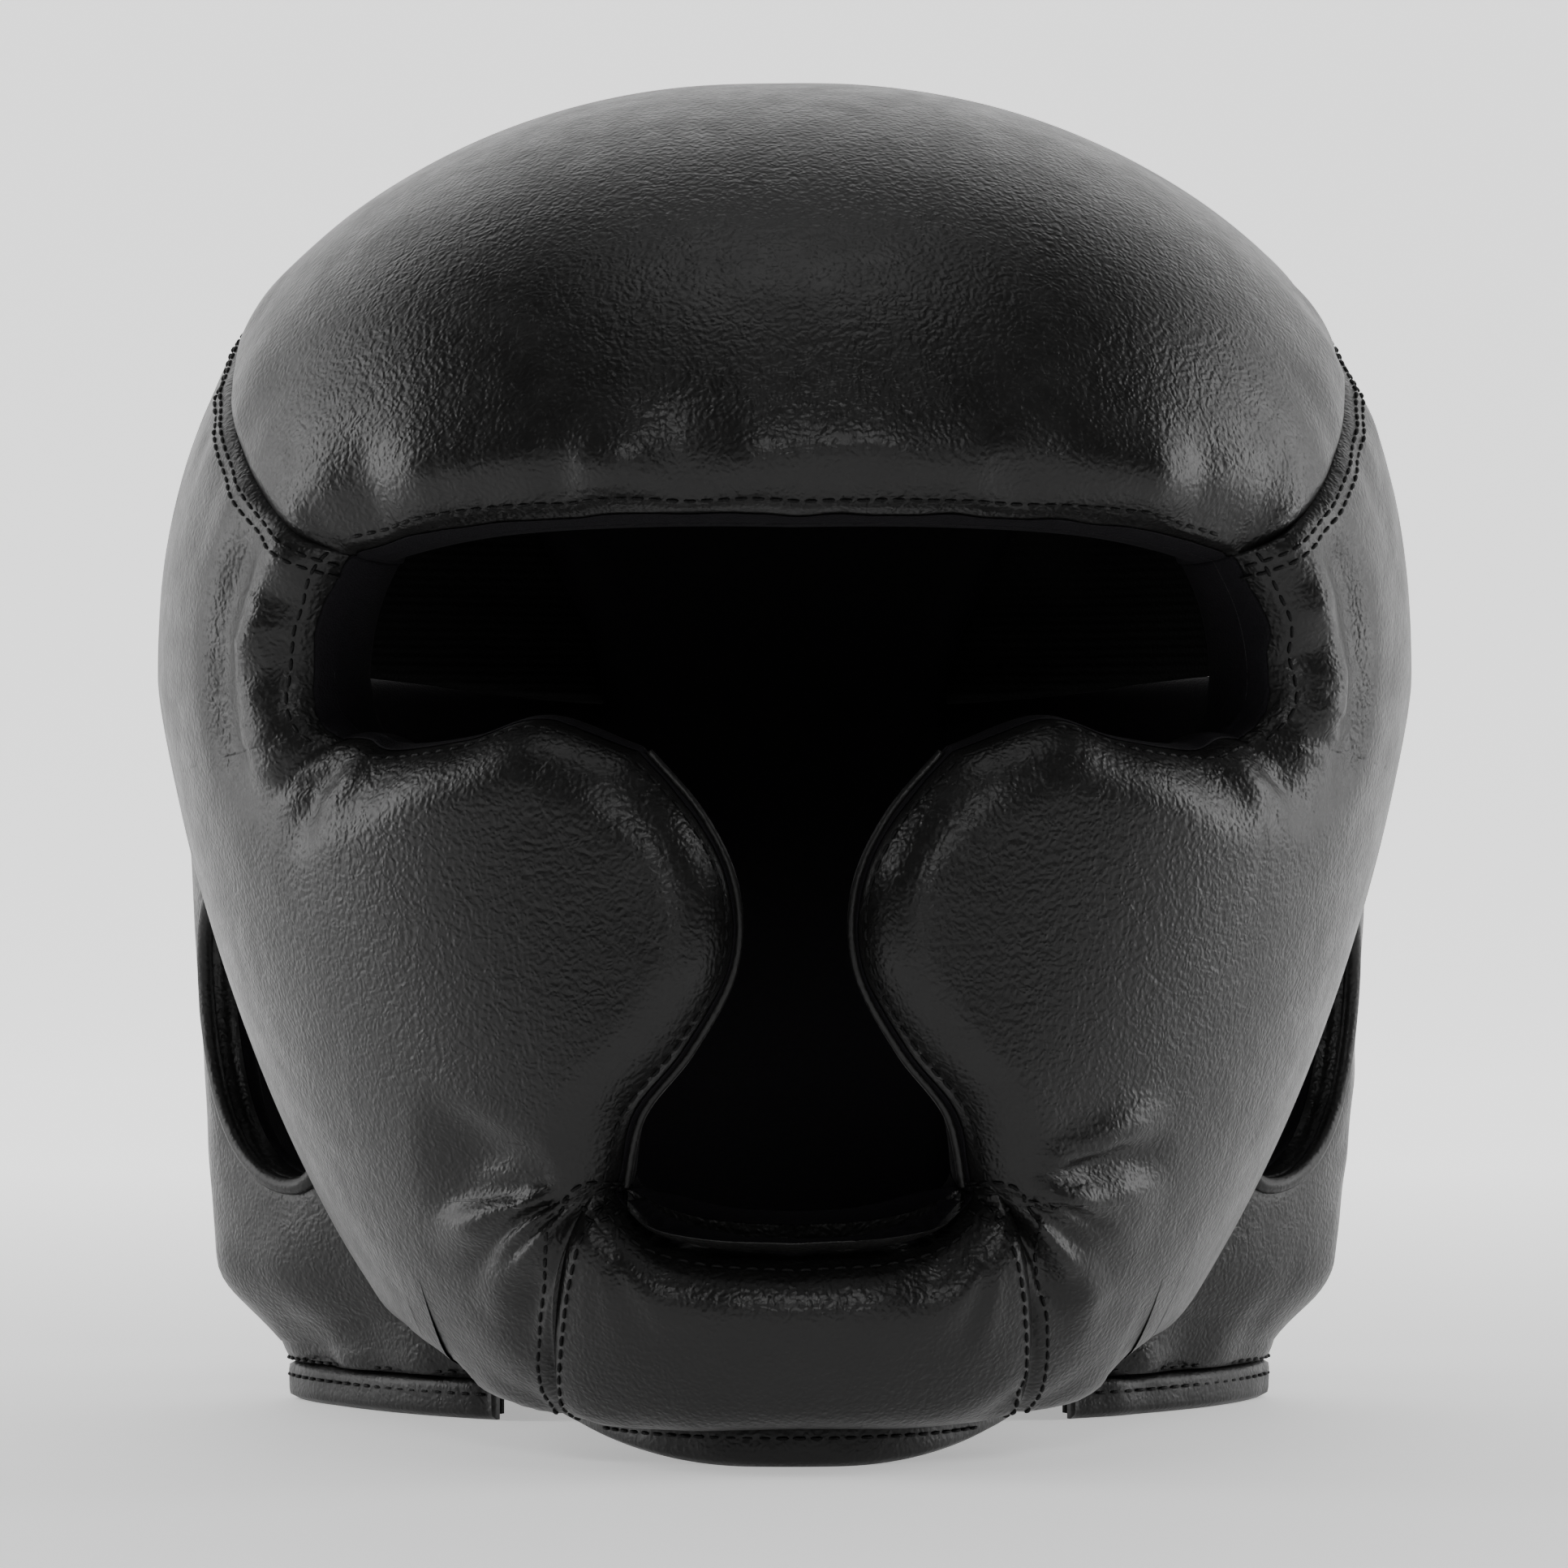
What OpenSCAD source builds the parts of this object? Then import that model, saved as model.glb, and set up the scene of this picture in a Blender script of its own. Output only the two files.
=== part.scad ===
// Full-face boxing headgear: padded leather shell, swinging ear wings and a rear closure strap.
// The front faces -Y, +Z is up, and the headgear stands on its hems at Z = 0.

/* [Shell] */
// Outside width across the temples
shell_w = 238; // [226:1:250]
// Outside height from the hems to the crown
shell_h = 253; // [244:1:262]
// Outside depth from the brow to the wings' rear ends
shell_d = 252; // [240:1:264]

/* [Padding] */
// Padding thickness round the face
face_pad = 28; // [22:1:32]
// Padding thickness at the back and crown
rear_pad = 16; // [12:1:20]
// Padding thickness of the ear wings
wing_pad = 9; // [7:0.5:12]
// Thickness of the outer leather
leather = 1.4; // [1:0.1:2]
// Thickness of the inner lining
lining = 1; // [0.8:0.1:1.6]

/* [Closure] */
// Thickness of the rear straps
strap_t = 1.8; // [1.4:0.1:2.4]
// Height of the rear straps
strap_h = 40; // [34:1:42]

/* [Hem] */
// Height of the hem bands under the wings and the chin
hem_h = 8; // [6:0.5:9]

/* [Hidden] */

gap = 0.3;                        // air between stacked layers
waist = shell_h * 0.56;           // height of the widest level
mid_w = shell_w / 2 - face_pad / 2;
thinned = 1.8;                    // how far the face pads' thin edges stop short of the full depth
wing_wrap = 12.3;                 // how far the wings stand out behind the back pad
mid_front = shell_d / 2 - face_pad / 2 + thinned;
mid_back = shell_d / 2 - rear_pad / 2 - wing_wrap;
rise = shell_h - waist - rear_pad / 2;
drop = waist + 1;
dome_n = 2.27;                    // squareness of the dome and of every level
jaw_bend = [1.25, 0.385];           // how the sides draw in below the waist
chin_n = 5;                       // squareness of the chin's profile
nape_n = 3;                       // squareness of the nape's profile
kx = shell_w / 238;
ky = shell_d / 252;
kz = shell_h / 253;
groove = 4;                       // depth of the seams between the pads
seam_in = mid_w / (shell_w / 2 - groove); // draws a seam in to the pads' middle surface
edge_roll = 13;                   // width over which an open edge thins
edge_thin = 0.42;                 // share of the thickness left at an open edge
step = 0.05;                      // distance for measuring slopes

leather_black = [0.09, 0.09, 0.095];
foam_grey = [0.55, 0.55, 0.58];
lining_black = [0.14, 0.13, 0.16];
tape_black = [0.05, 0.05, 0.06];

// ---------------------------------------------------------------- middle surface of the pads
function low(z) = min(1, max(0, (waist - z) / drop));
function high(z) = min(1, max(0, (z - waist) / rise));
function dome(z) = pow(max(1e-6, 1 - pow(high(z), dome_n)), 1 / dome_n);
function width_at(z) = z < waist ? pow(max(1e-6, 1 - pow(low(z), jaw_bend[0])), jaw_bend[1]) : dome(z);
function front_at(z) = z < waist ? pow(max(1e-6, 1 - pow(low(z), chin_n)), 1 / chin_n) : dome(z);
function back_at(z) = z < waist ? pow(max(1e-6, 1 - pow(low(z), nape_n)), 1 / nape_n) : dome(z);
function reach(p) = p.y < 0 ? mid_front * front_at(min(p.z, waist)) : mid_back * back_at(min(p.z, waist));
function level(p) =
    pow(abs(p.x) / (mid_w * width_at(min(p.z, waist))), dome_n)
    + pow(abs(p.y) / reach(p), dome_n)
    + (p.z > waist ? pow((p.z - waist) / rise, dome_n) : 0);

// A point moved onto the surface: away from the centre above the waist, level below it
function onto(p) =
    let (k = pow(level(p), -1 / dome_n))
    [p.x * k, p.y * k, p.z > waist ? waist + (p.z - waist) * k : p.z];
function slope(p) =
    let (g = [level(p + [step, 0, 0]) - level(p - [step, 0, 0]),
              level(p + [0, step, 0]) - level(p - [0, step, 0]),
              level(p + [0, 0, step]) - level(p - [0, 0, step])])
    g / norm(g);
function face_share(p) = let (t = min(1, max(0, (p.y / ky + 10) / 80))) 1 - t * t * (3 - 2 * t);
function crown_share(p) = let (t = min(1, max(0, (p.z / kz - 195) / 50))) 1 - 0.7 * t * t * (3 - 2 * t);
function pad_at(p) = rear_pad + (face_pad - rear_pad) * face_share(p) * crown_share(p);

// Points given by the view they are seen in; the missing coordinate is solved
function left_over(a, b) = pow(max(1e-6, 1 - a - b), 1 / dome_n);
function up_part(z) = z > waist ? pow((z - waist) / rise, dome_n) : 0;
function front_pt(x, z) =
    [x, -mid_front * front_at(min(z, waist))
        * left_over(pow(abs(x) / (mid_w * width_at(min(z, waist))), dome_n), up_part(z)), z];
function back_pt(x, z) =
    [x, mid_back * back_at(min(z, waist))
        * left_over(pow(abs(x) / (mid_w * width_at(min(z, waist))), dome_n), up_part(z)), z];
function side_pt(y, z) =
    [mid_w * width_at(min(z, waist))
        * left_over(pow(abs(y) / reach([0, y, z]), dome_n), up_part(z)), y, z];
function face(x, z) = front_pt(x * kx, z * kz);
function skin(x, z) = front_pt(x * kx * seam_in, waist + (z * kz - waist) * seam_in);
function rear(x, z) = back_pt(x * kx, z * kz);
function flank(y, z) = side_pt(y * ky, z * kz);

// ---------------------------------------------------------------- outlines, right side
// Crown and forehead seam, from the back of the side panel to the eye corner
SEAM = [flank(66, 181), flank(50, 196), flank(27, 205), flank(2, 207),
        skin(101, 198), skin(97, 180), skin(89, 168), face(76, 162)];
SEAM_CROWN = 2 / 7;               // share of SEAM that borders the crown
// From the back edge to the eye corner, along the cheek top, to the nose
CHEEK_TOP = [flank(24, 128), flank(-10, 126), flank(-42, 127), face(78, 131),
             face(69, 129), face(56, 130.5), face(43, 134), face(27, 128.5)];
TOP_TEMPLE = 3 / 7;               // share of CHEEK_TOP that the temple pad shares
// Outer edge of the eye, top to bottom
EYE_SIDE = [face(76, 162), face(80.5, 153), face(82.5, 144), face(82, 136), face(78, 131)];
// Nose lobe, mouth corner and chin seam, top to bottom
LOBE = [face(27, 128.5), face(16.5, 116), face(10.8, 103), face(11.2, 89), face(18.5, 75),
        face(27, 63.5), face(30, 50), skin(35.5, 42), skin(38, 29), face(32.5, 13)];
LOBE_CHIN = 6 / 9;                // share of LOBE above the chin seam
// Jaw edge from the chin to the lower back corner, and up to the temple
JAW = [face(32.5, 13), face(47, 16), flank(-52, 20), flank(-22, 26), flank(2, 36)];
BACK_LOW = [flank(24, 128), flank(21, 96), flank(13, 64), flank(2, 36)];
BACK_HIGH = [flank(24, 128), flank(34, 146), flank(58, 160), flank(66, 181)];
CROWN_REAR = [rear(0, 178), rear(28, 178), rear(50, 176), rear(60, 186), rear(74, 188), flank(66, 181)];
BACK_TOP = [rear(0, 178), rear(28, 178), rear(50, 176)];
NAPE = [rear(0, 22), rear(20, 22), rear(38, 24)];
BROW = [face(0, 167.5), face(30, 167.5), face(56, 166), face(76, 162)];
MOUTH = [face(0, 40), face(14, 41), face(23.5, 44), face(30, 50)];
CHIN_LOW = [face(0, 12), face(15, 12), face(32.5, 13)];
// Edge of the back pad, crown to nape, and the window's top edge beside it
BACK_SIDE = [rear(50, 176), rear(38, 152), rear(35, 132), rear(37, 96), rear(39, 62), rear(38, 24)];
CORONAL = [[0, 22 * ky, shell_h - rear_pad / 2], flank(27, 205)];

// ---------------------------------------------------------------- curves and patches
function mirrored(p) = [-p.x, p.y, p.z];
function spline(pts, t) =
    let (n = len(pts) - 1,
         i = min(n - 1, max(0, floor(t * n))),
         f = t * n - i,
         p1 = pts[i],
         p2 = pts[i + 1],
         p0 = i > 0 ? pts[i - 1] : 2 * p1 - p2,
         p3 = i < n - 1 ? pts[i + 2] : 2 * p2 - p1)
    0.5 * (2 * p1 + (p2 - p0) * f + (2 * p0 - 5 * p1 + 4 * p2 - p3) * f * f
           + (3 * p1 - p0 - 3 * p2 + p3) * f * f * f);
function part_of(pts, from, to, t) = spline(pts, from + (to - from) * t);
// A line that runs from the left half over the middle to the right half
function across(pts, t) = t < 0.5 ? mirrored(spline(pts, 1 - 2 * t)) : spline(pts, 2 * t - 1);
function arch(pts, t) =
    let (a = (2 * t - 1) * 90, e = pts[1], m = pts[0])
    onto([e.x * sin(a), m.y + (e.y - m.y) * pow(abs(2 * t - 1), 2),
          waist + (e.z - waist) * abs(sin(a)) + (m.z - waist) * cos(a)]);

// A patch is four edge functions sampled at us and vs, filled in and moved onto the surface.
// Each cell holds [point, slope, padding thickness, edge factor]; open lists the sides
// [west, east, south, north] that end in free air and so get thin.
function spread(n, lo, hi) = [for (i = [0:n]) let (t = i / n) lo + (hi - lo) * (t - 0.35 * sin(360 * t) / 6.2832)];
function thin(d) = let (t = min(1, max(0, d / edge_roll))) edge_thin + (1 - edge_thin) * sqrt(t * (2 - t));
function cell(p, edges, open) =
    let (d = min([for (k = [0:3]) open[k] ? norm(p - edges[k]) : edge_roll]), q = onto(p))
    [q, slope(q), pad_at(q), thin(d)];
function patch(s, n, w, e, corners, us, vs, open) =
    [for (j = [0:len(vs) - 1]) [for (i = [0:len(us) - 1])
        let (u = us[i], v = vs[j],
             p = (1 - v) * s[i] + v * n[i] + (1 - u) * w[j] + u * e[j]
                 - (1 - u) * (1 - v) * corners[0] - u * (1 - v) * corners[1]
                 - (1 - u) * v * corners[2] - u * v * corners[3])
        cell(p, [w[j], e[j], s[i], n[i]], open)]];

// Depth below the outer skin, written as [share of the padding, millimetres]
SKIN = [0, 0];
COVER_BACK = [0, leather];
FOAM_FRONT = [0, leather + gap];
FOAM_BACK = [1, -lining - gap];
LINING_FRONT = [1, -lining];
INSIDE = [1, 0];
function at_depth(c, d) = c[0] + c[1] * (c[2] / 2 - d[0] * c[2] - d[1]) * c[3];

// Closed solid between two depths of a grid; cells in hole = [i0, i1, j0, j1] are left out
module slab(grid, from, to, hole = [0, 0, 0, 0]) {
    rows = len(grid);
    cols = len(grid[0]);
    count = rows * cols;
    function solid(i, j) = i >= 0 && j >= 0 && i < cols - 1 && j < rows - 1
        && !(i >= hole[0] && i < hole[1] && j >= hole[2] && j < hole[3]);
    function id(i, j, low) = j * cols + i + (low ? count : 0);
    function wall(a, b) = [[a, b, b + count], [a, b + count, a + count]];
    points = concat([for (row = grid) for (c = row) at_depth(c, from)],
                    [for (row = grid) for (c = row) at_depth(c, to)]);
    faces = [for (j = [rows - 2:-1:0]) for (i = [cols - 2:-1:0]) if (solid(i, j)) each concat(
        solid(i, j - 1) ? [] : wall(id(i, j, false), id(i + 1, j, false)),
        solid(i, j + 1) ? [] : wall(id(i + 1, j + 1, false), id(i, j + 1, false)),
        solid(i - 1, j) ? [] : wall(id(i, j + 1, false), id(i, j, false)),
        solid(i + 1, j) ? [] : wall(id(i + 1, j, false), id(i + 1, j + 1, false)),
        [[id(i, j, false), id(i, j + 1, false), id(i + 1, j + 1, false)],
         [id(i, j, false), id(i + 1, j + 1, false), id(i + 1, j, false)],
         [id(i, j, true), id(i + 1, j + 1, true), id(i, j + 1, true)],
         [id(i, j, true), id(i + 1, j, true), id(i + 1, j + 1, true)]])];
    polyhedron(points = points, faces = faces, convexity = 8);
}

// ---------------------------------------------------------------- pads of the shell
trim = 0.006;                     // share of a patch left off for the gap between pads
function forehead() =
    let (us = spread(15, trim, 1 - trim), vs = spread(10, 0, 1 - trim),
         w = [for (v = vs) mirrored(part_of(SEAM, 1, SEAM_CROWN, v))],
         e = [for (v = vs) part_of(SEAM, 1, SEAM_CROWN, v)],
         s = [for (u = us) across(BROW, u)],
         n = [for (u = us) arch(CORONAL, u)])
    patch(s, n, w, e, [mirrored(SEAM[7]), SEAM[7], mirrored(SEAM[2]), SEAM[2]], us, vs,
          [false, false, true, false]);
function crown() =
    let (us = spread(15, trim, 1 - trim), vs = spread(7, trim, 1 - trim),
         w = [for (v = vs) mirrored(part_of(SEAM, SEAM_CROWN, 0, v))],
         e = [for (v = vs) part_of(SEAM, SEAM_CROWN, 0, v)],
         s = [for (u = us) arch(CORONAL, u)],
         n = [for (u = us) across(CROWN_REAR, u)])
    patch(s, n, w, e, [mirrored(SEAM[2]), SEAM[2], mirrored(SEAM[0]), SEAM[0]], us, vs,
          [false, false, false, false]);
function temple(last) =
    let (us = spread(9, 0, 1), vs = spread(7, trim, last),
         w = [for (v = vs) spline(BACK_HIGH, 1 - v)],
         e = [for (v = vs) spline(EYE_SIDE, v)],
         s = [for (u = us) spline(SEAM, u)],
         n = [for (u = us) part_of(CHEEK_TOP, 0, TOP_TEMPLE, u)])
    patch(s, n, w, e, [SEAM[0], SEAM[7], CHEEK_TOP[0], CHEEK_TOP[3]], us, vs,
          [true, true, false, false]);
function cheek(first) =
    let (us = spread(13, 0, 1), vs = spread(11, first, 1),
         w = [for (v = vs) spline(BACK_LOW, v)],
         e = [for (v = vs) spline(LOBE, v)],
         s = [for (u = us) spline(CHEEK_TOP, u)],
         n = [for (u = us) spline(JAW, 1 - u)])
    patch(s, n, w, e, [CHEEK_TOP[0], CHEEK_TOP[7], JAW[4], JAW[0]], us, vs,
          [true, true, false, true]);
function chin() =
    let (us = spread(12, 5 * trim, 1 - 5 * trim), vs = spread(6, 0, 1),
         w = [for (v = vs) mirrored(part_of(LOBE, 1, LOBE_CHIN, v))],
         e = [for (v = vs) part_of(LOBE, 1, LOBE_CHIN, v)],
         s = [for (u = us) across(CHIN_LOW, u)],
         n = [for (u = us) across(MOUTH, u)])
    patch(s, n, w, e, [mirrored(LOBE[9]), LOBE[9], mirrored(LOBE[6]), LOBE[6]], us, vs,
          [false, false, true, true]);
function back() =
    let (us = spread(7, 0, 1), vs = spread(11, trim, 1),
         w = [for (v = vs) mirrored(spline(BACK_SIDE, v))],
         e = [for (v = vs) spline(BACK_SIDE, v)],
         s = [for (u = us) across(BACK_TOP, u)],
         n = [for (u = us) across(NAPE, u)])
    patch(s, n, w, e, [mirrored(BACK_SIDE[0]), BACK_SIDE[0], mirrored(BACK_SIDE[5]), BACK_SIDE[5]],
          us, vs, [true, true, false, true]);

module leather_of(grid) { color(leather_black) slab(grid, SKIN, COVER_BACK); }
module foam_of(grid) { color(foam_grey) slab(grid, FOAM_FRONT, FOAM_BACK); }
module lining_of(grid) { color(lining_black) slab(grid, LINING_FRONT, INSIDE); }
module on_left() { mirror([1, 0, 0]) children(); }

module forehead_cover() { leather_of(forehead()); }
module forehead_foam() { foam_of(forehead()); }
module forehead_lining() { lining_of(forehead()); }
module crown_cover() { leather_of(crown()); }
module crown_foam() { foam_of(crown()); }
module crown_lining() { lining_of(crown()); }
module back_cover() { leather_of(back()); }
module back_foam() { foam_of(back()); }
module back_lining() { lining_of(back()); }
module chin_cover() { leather_of(chin()); }
module chin_foam() { foam_of(chin()); }
module chin_lining() { lining_of(chin()); }
module side_cover() {
    leather_of(temple(1));
    leather_of(cheek(0.002));
}
module side_lining() {
    lining_of(temple(1));
    lining_of(cheek(0.002));
}
module temple_foam() { foam_of(temple(1 - trim)); }
module cheek_foam() { foam_of(cheek(trim)); }

// ---------------------------------------------------------------- trims
// Round cord along a path; closed joins its ends
module cord(path, sides_up, r, closed = false) {
    sides = 6;
    n = len(path);
    function ahead(i) = closed ? path[(i + 1) % n] : path[min(n - 1, i + 1)];
    function behind(i) = closed ? path[(i + n - 1) % n] : path[max(0, i - 1)];
    rings = [for (i = [0:n - 1])
        let (t = ahead(i) - behind(i), along = t / norm(t),
             side = cross(along, sides_up[i]), a = side / norm(side), b = cross(a, along))
        each [for (k = [0:sides - 1]) path[i] + r * (a * cos(360 * k / sides) + b * sin(360 * k / sides))]];
    function ring_id(i, k) = (i % n) * sides + k % sides;
    skin_faces = [for (i = [0:n - (closed ? 1 : 2)]) for (k = [0:sides - 1]) each
        [[ring_id(i, k), ring_id(i + 1, k + 1), ring_id(i, k + 1)],
         [ring_id(i, k), ring_id(i + 1, k), ring_id(i + 1, k + 1)]]];
    caps = closed ? [] : [[for (k = [0:sides - 1]) k],
                          [for (k = [sides - 1:-1:0]) (n - 1) * sides + k]];
    polyhedron(points = rings, faces = concat(skin_faces, caps), convexity = 6);
}

binding_r = 1;                    // radius of the bound edge of the nose lobes
function lobe_edge(v) = onto(part_of(LOBE, 0, LOBE_CHIN, v));
function lobe_out(v) =
    let (along = lobe_edge(min(1, v + 0.02)) - lobe_edge(max(0, v - 0.02)),
         out = cross(along, slope(lobe_edge(v))))
    out / norm(out);
module lobe_binding() {
    vs = [for (i = [1:23]) i / 24];
    color(leather_black)
    cord([for (v = vs) lobe_edge(v) + lobe_out(v) * (binding_r + 0.4)], [for (v = vs) slope(lobe_edge(v))],
         binding_r);
}

// ---------------------------------------------------------------- ear wings, right side
wing_w = shell_w / 2;
wing_y = 20 * ky;                 // where the wings start to curve round the back
wing_out = rear_pad / 2 + 6.6 + wing_pad / 2;
wing_bow = 9;                     // how far the wings draw in towards the floor
gather_in = 11;                   // how far the gathered hem draws in
hem_tuck = 20;                    // height whose width the hem's front end takes
WING_EDGE = [[0, 4], [8, 4], [34, 7.5], [64, 18.5], [96, 27.5], [128, 32], [146, 45]];
WING_S = [0, 0.03, 0.07, 0.1, 0.13, 0.16, 0.19, 0.25, 0.35, 0.46, 0.58, 0.69, 0.8, 0.9, 1];
WING_T = [0, 0.05, 0.12, 0.21, 0.3, 0.41, 0.52, 0.63, 0.74, 0.87, 1];
EAR_HOLE = [2, 6, 4, 8];          // cells of the wing left open for the ear
function smooth(t) = let (c = min(1, max(0, t))) c * c * (3 - 2 * c);
function wing_half(z) =
    let (h = max(z, hem_h))
    wing_w - wing_bow * pow(max(0, 1 - h / (110 * kz)), 1.5) - gather_in * (1 - smooth((h - hem_h - 4) / 16));
function wing_depth(z) = mid_back * back_at(min(waist, max(z, 30 * kz))) + wing_out;
function wing_mid(s, z) =
    let (y0 = lookup(z / kz, WING_EDGE) * ky,
         x0 = side_pt(y0, max(z, hem_tuck * kz)).x,
         a = 3 + 74 * s,
         x1 = wing_half(z) * pow(cos(a), 2 / dome_n),
         y1 = wing_y + (wing_depth(z) - wing_y) * pow(sin(a), 2 / dome_n),
         k = smooth(s / 0.26))
    [x0 + (x1 - x0) * k, y0 + (y1 - y0) * k, z];
function wing_slope(s, z) =
    let (h = 0.004,
         n = cross(wing_mid(s + h, z) - wing_mid(max(0, s - h), z), wing_mid(s, z + 0.5) - wing_mid(s, z - 0.5)))
    n / norm(n);
function wing_top(s) = (134 - 4 * s) * kz;
// The ear hole's cells bent from a square window into an oval one
function oval(s, t) =
    let (c = [(WING_S[EAR_HOLE[0]] + WING_S[EAR_HOLE[1]]) / 2, (WING_T[EAR_HOLE[2]] + WING_T[EAR_HOLE[3]]) / 2],
         r = [(WING_S[EAR_HOLE[1]] - WING_S[EAR_HOLE[0]]) / 2, (WING_T[EAR_HOLE[3]] - WING_T[EAR_HOLE[2]]) / 2],
         a = (s - c.x) / r.x, b = (t - c.y) / r.y, m = max(abs(a), abs(b), 0.001),
         p = a / m, q = b / m, k = smooth(2 - m))
    [c.x + r.x * m * (p + (p * sqrt(1 - q * q / 2) - p) * k),
     c.y + r.y * m * (q + (q * sqrt(1 - p * p / 2) - q) * k)];
function wing_cell(s, t) =
    let (o = oval(s, t), u = max(0, o.x), z = hem_h + (wing_top(u) - hem_h) * o.y,
         d = min((1 - s) * 150, (1 - t) * 130) + 4)
    [wing_mid(u, z), wing_slope(u, z), wing_pad, thin(d)];
function wing() = [for (t = WING_T) [for (s = WING_S) wing_cell(s, t)]];
function upright(n) = [n.x, n.y, 0] / norm([n.x, n.y]);
function hem(lo, hi) =
    [for (z = [lo, hi]) [for (s = WING_S) [wing_mid(s, z), upright(wing_slope(s, hem_h)), wing_pad, 1]]];
module wing_layer(from, to) { slab(wing(), from, to, EAR_HOLE); }
module wing_cover() { color(leather_black) wing_layer(SKIN, COVER_BACK); }
module wing_foam() { color(foam_grey) wing_layer(FOAM_FRONT, FOAM_BACK); }
module wing_lining() { color(lining_black) wing_layer(LINING_FRONT, INSIDE); }
module hem_band() { color(leather_black) slab(hem(0, hem_h - 2 * gap), [0, 1.5], [0, 4.2]); }
module hem_elastic() { color(tape_black) slab(hem(1, hem_h - 1), [0, 4.5], [0, 6]); }
module ear_trim() {
    trim_r = 1.2;
    turn = [for (k = [0:23]) k * 15];
    spots = [for (a = turn)
        let (c = [(WING_S[2] + WING_S[6]) / 2, (WING_T[4] + WING_T[8]) / 2],
             s = c.x + (WING_S[6] - WING_S[2]) * 0.56 * cos(a), t = c.y + (WING_T[8] - WING_T[4]) * 0.56 * sin(a),
             z = hem_h + (wing_top(s) - hem_h) * t)
        [wing_mid(s, z) + wing_slope(s, z) * (wing_pad / 2 + trim_r + 0.25), wing_slope(s, z)]];
    color(leather_black)
    cord([for (p = spots) p[0]], [for (p = spots) p[1]], trim_r, true);
}

// ---------------------------------------------------------------- rear closure
// A point beside the skin at a plan angle and height, pushed out from the back pad's face
function round_pt(a, z, out) =
    let (share = 1 - up_part(z),
         w = mid_w * width_at(min(z, waist)), d = mid_back * back_at(min(z, waist)),
         k = pow(share / (pow(abs(cos(a)) / w, dome_n) + pow(abs(sin(a)) / d, dome_n)), 1 / dome_n),
         p = [k * cos(a), k * sin(a), z])
    p + slope(p) * (pad_at(p) / 2 + out);
function strap_mid(a) = (158 + 6 * smooth((abs(a - 90) - 10) / 44)) * kz;
function strap_grid(from, to, high, lift, n = 12) =
    [for (v = [-0.5, 0, 0.5]) [for (i = [0:n])
        let (a = from + (to - from) * i / n, p = round_pt(a, strap_mid(a) + v * high, 0),
             q = round_pt(a, strap_mid(a) + v * high, 1))
        [p + (q - p) * lift(a), q - p, 0, 1]]];
strap_root = 36;                  // plan angle where the straps are sewn on
first = 0.6;                      // clearance of a strap over the skin
patch_t = 0.8;                    // thickness of the hook and loop tape
over = first + strap_t + 2 * patch_t + 5 * gap;
function over_lift(a) = first + (over - first) * smooth((a - strap_root) / 30);
function out_by(d) = [0, -d];
module strap(grid, low, thick) { slab(grid, out_by(low + thick), out_by(low)); }
module loop_strap() {
    color(tape_black) strap(strap_grid(78, 180 - strap_root, strap_h, function(a) first), 0, strap_t);
}
module loop_patch() {
    color(tape_black)
    strap(strap_grid(79, 112, strap_h - 3, function(a) first, 6), strap_t + gap, patch_t);
}
module closure_strap() {
    color(tape_black) strap(strap_grid(strap_root, 116, strap_h, function(a) over_lift(a)), 0, strap_t);
}
module hook_patch() {
    color(tape_black)
    strap(strap_grid(84, 114, strap_h - 5, function(a) over_lift(a), 6), -1.5 * gap - patch_t, patch_t);
}
function nape_grid() =
    [for (z = [50, 70, 90, 110]) [for (a = [72:6:108])
        let (p = round_pt(a, z * kz, 0), q = round_pt(a, z * kz, 1)) [p, q - p, 0, 1]]];
module nape_loop() { color(tape_black) slab(nape_grid(), out_by(first + patch_t), out_by(first)); }
function hook_cells() =
    [for (z = [56, 82, 108]) [for (s = [0.9, 0.94, 0.98]) [wing_mid(s, z * kz), wing_slope(s, z * kz), wing_pad, 1]]];
module nape_hook() { color(tape_black) slab(hook_cells(), [1, 0.2], [1, 0.2 + patch_t]); }

// ---------------------------------------------------------------- chin hem
hem_half = 40 * kx;               // half length of the chin hem
function chin_hem_cell(u, v) =
    let (p = face(hem_half / kx * u, 12), lo = 6 * pow(max(0, abs(u) - 0.2) / 0.8, 2), hi = 8.6)
    [[p.x, p.y, lo + (hi - lo) * v], upright(slope(p)), 5, 1];
module chin_hem() {
    color(leather_black)
    slab([for (v = [0, 1]) [for (u = [-1:0.1:1]) chin_hem_cell(u, v)]], [0, 0], [1, 0]);
}

forehead_cover();
forehead_foam();
forehead_lining();
crown_cover();
crown_foam();
crown_lining();
back_cover();
back_foam();
back_lining();
chin_cover();
chin_foam();
chin_lining();
chin_hem();
on_left() side_cover();  // left_side_cover
side_cover();  // right_side_cover
on_left() temple_foam();  // left_temple_foam
temple_foam();  // right_temple_foam
on_left() cheek_foam();  // left_cheek_foam
cheek_foam();  // right_cheek_foam
on_left() side_lining();  // left_side_lining
side_lining();  // right_side_lining
on_left() lobe_binding();  // left_lobe_binding
lobe_binding();  // right_lobe_binding
on_left() wing_cover();  // left_wing_cover
wing_cover();  // right_wing_cover
on_left() wing_foam();  // left_wing_foam
wing_foam();  // right_wing_foam
on_left() wing_lining();  // left_wing_lining
wing_lining();  // right_wing_lining
on_left() ear_trim();  // left_ear_trim
ear_trim();  // right_ear_trim
on_left() hem_band();  // left_hem_band
hem_band();  // right_hem_band
on_left() hem_elastic();  // left_hem_elastic
hem_elastic();  // right_hem_elastic
on_left() nape_hook();  // left_nape_hook
nape_hook();  // right_nape_hook
nape_loop();
loop_strap();
loop_patch();
closure_strap();
hook_patch();
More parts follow.
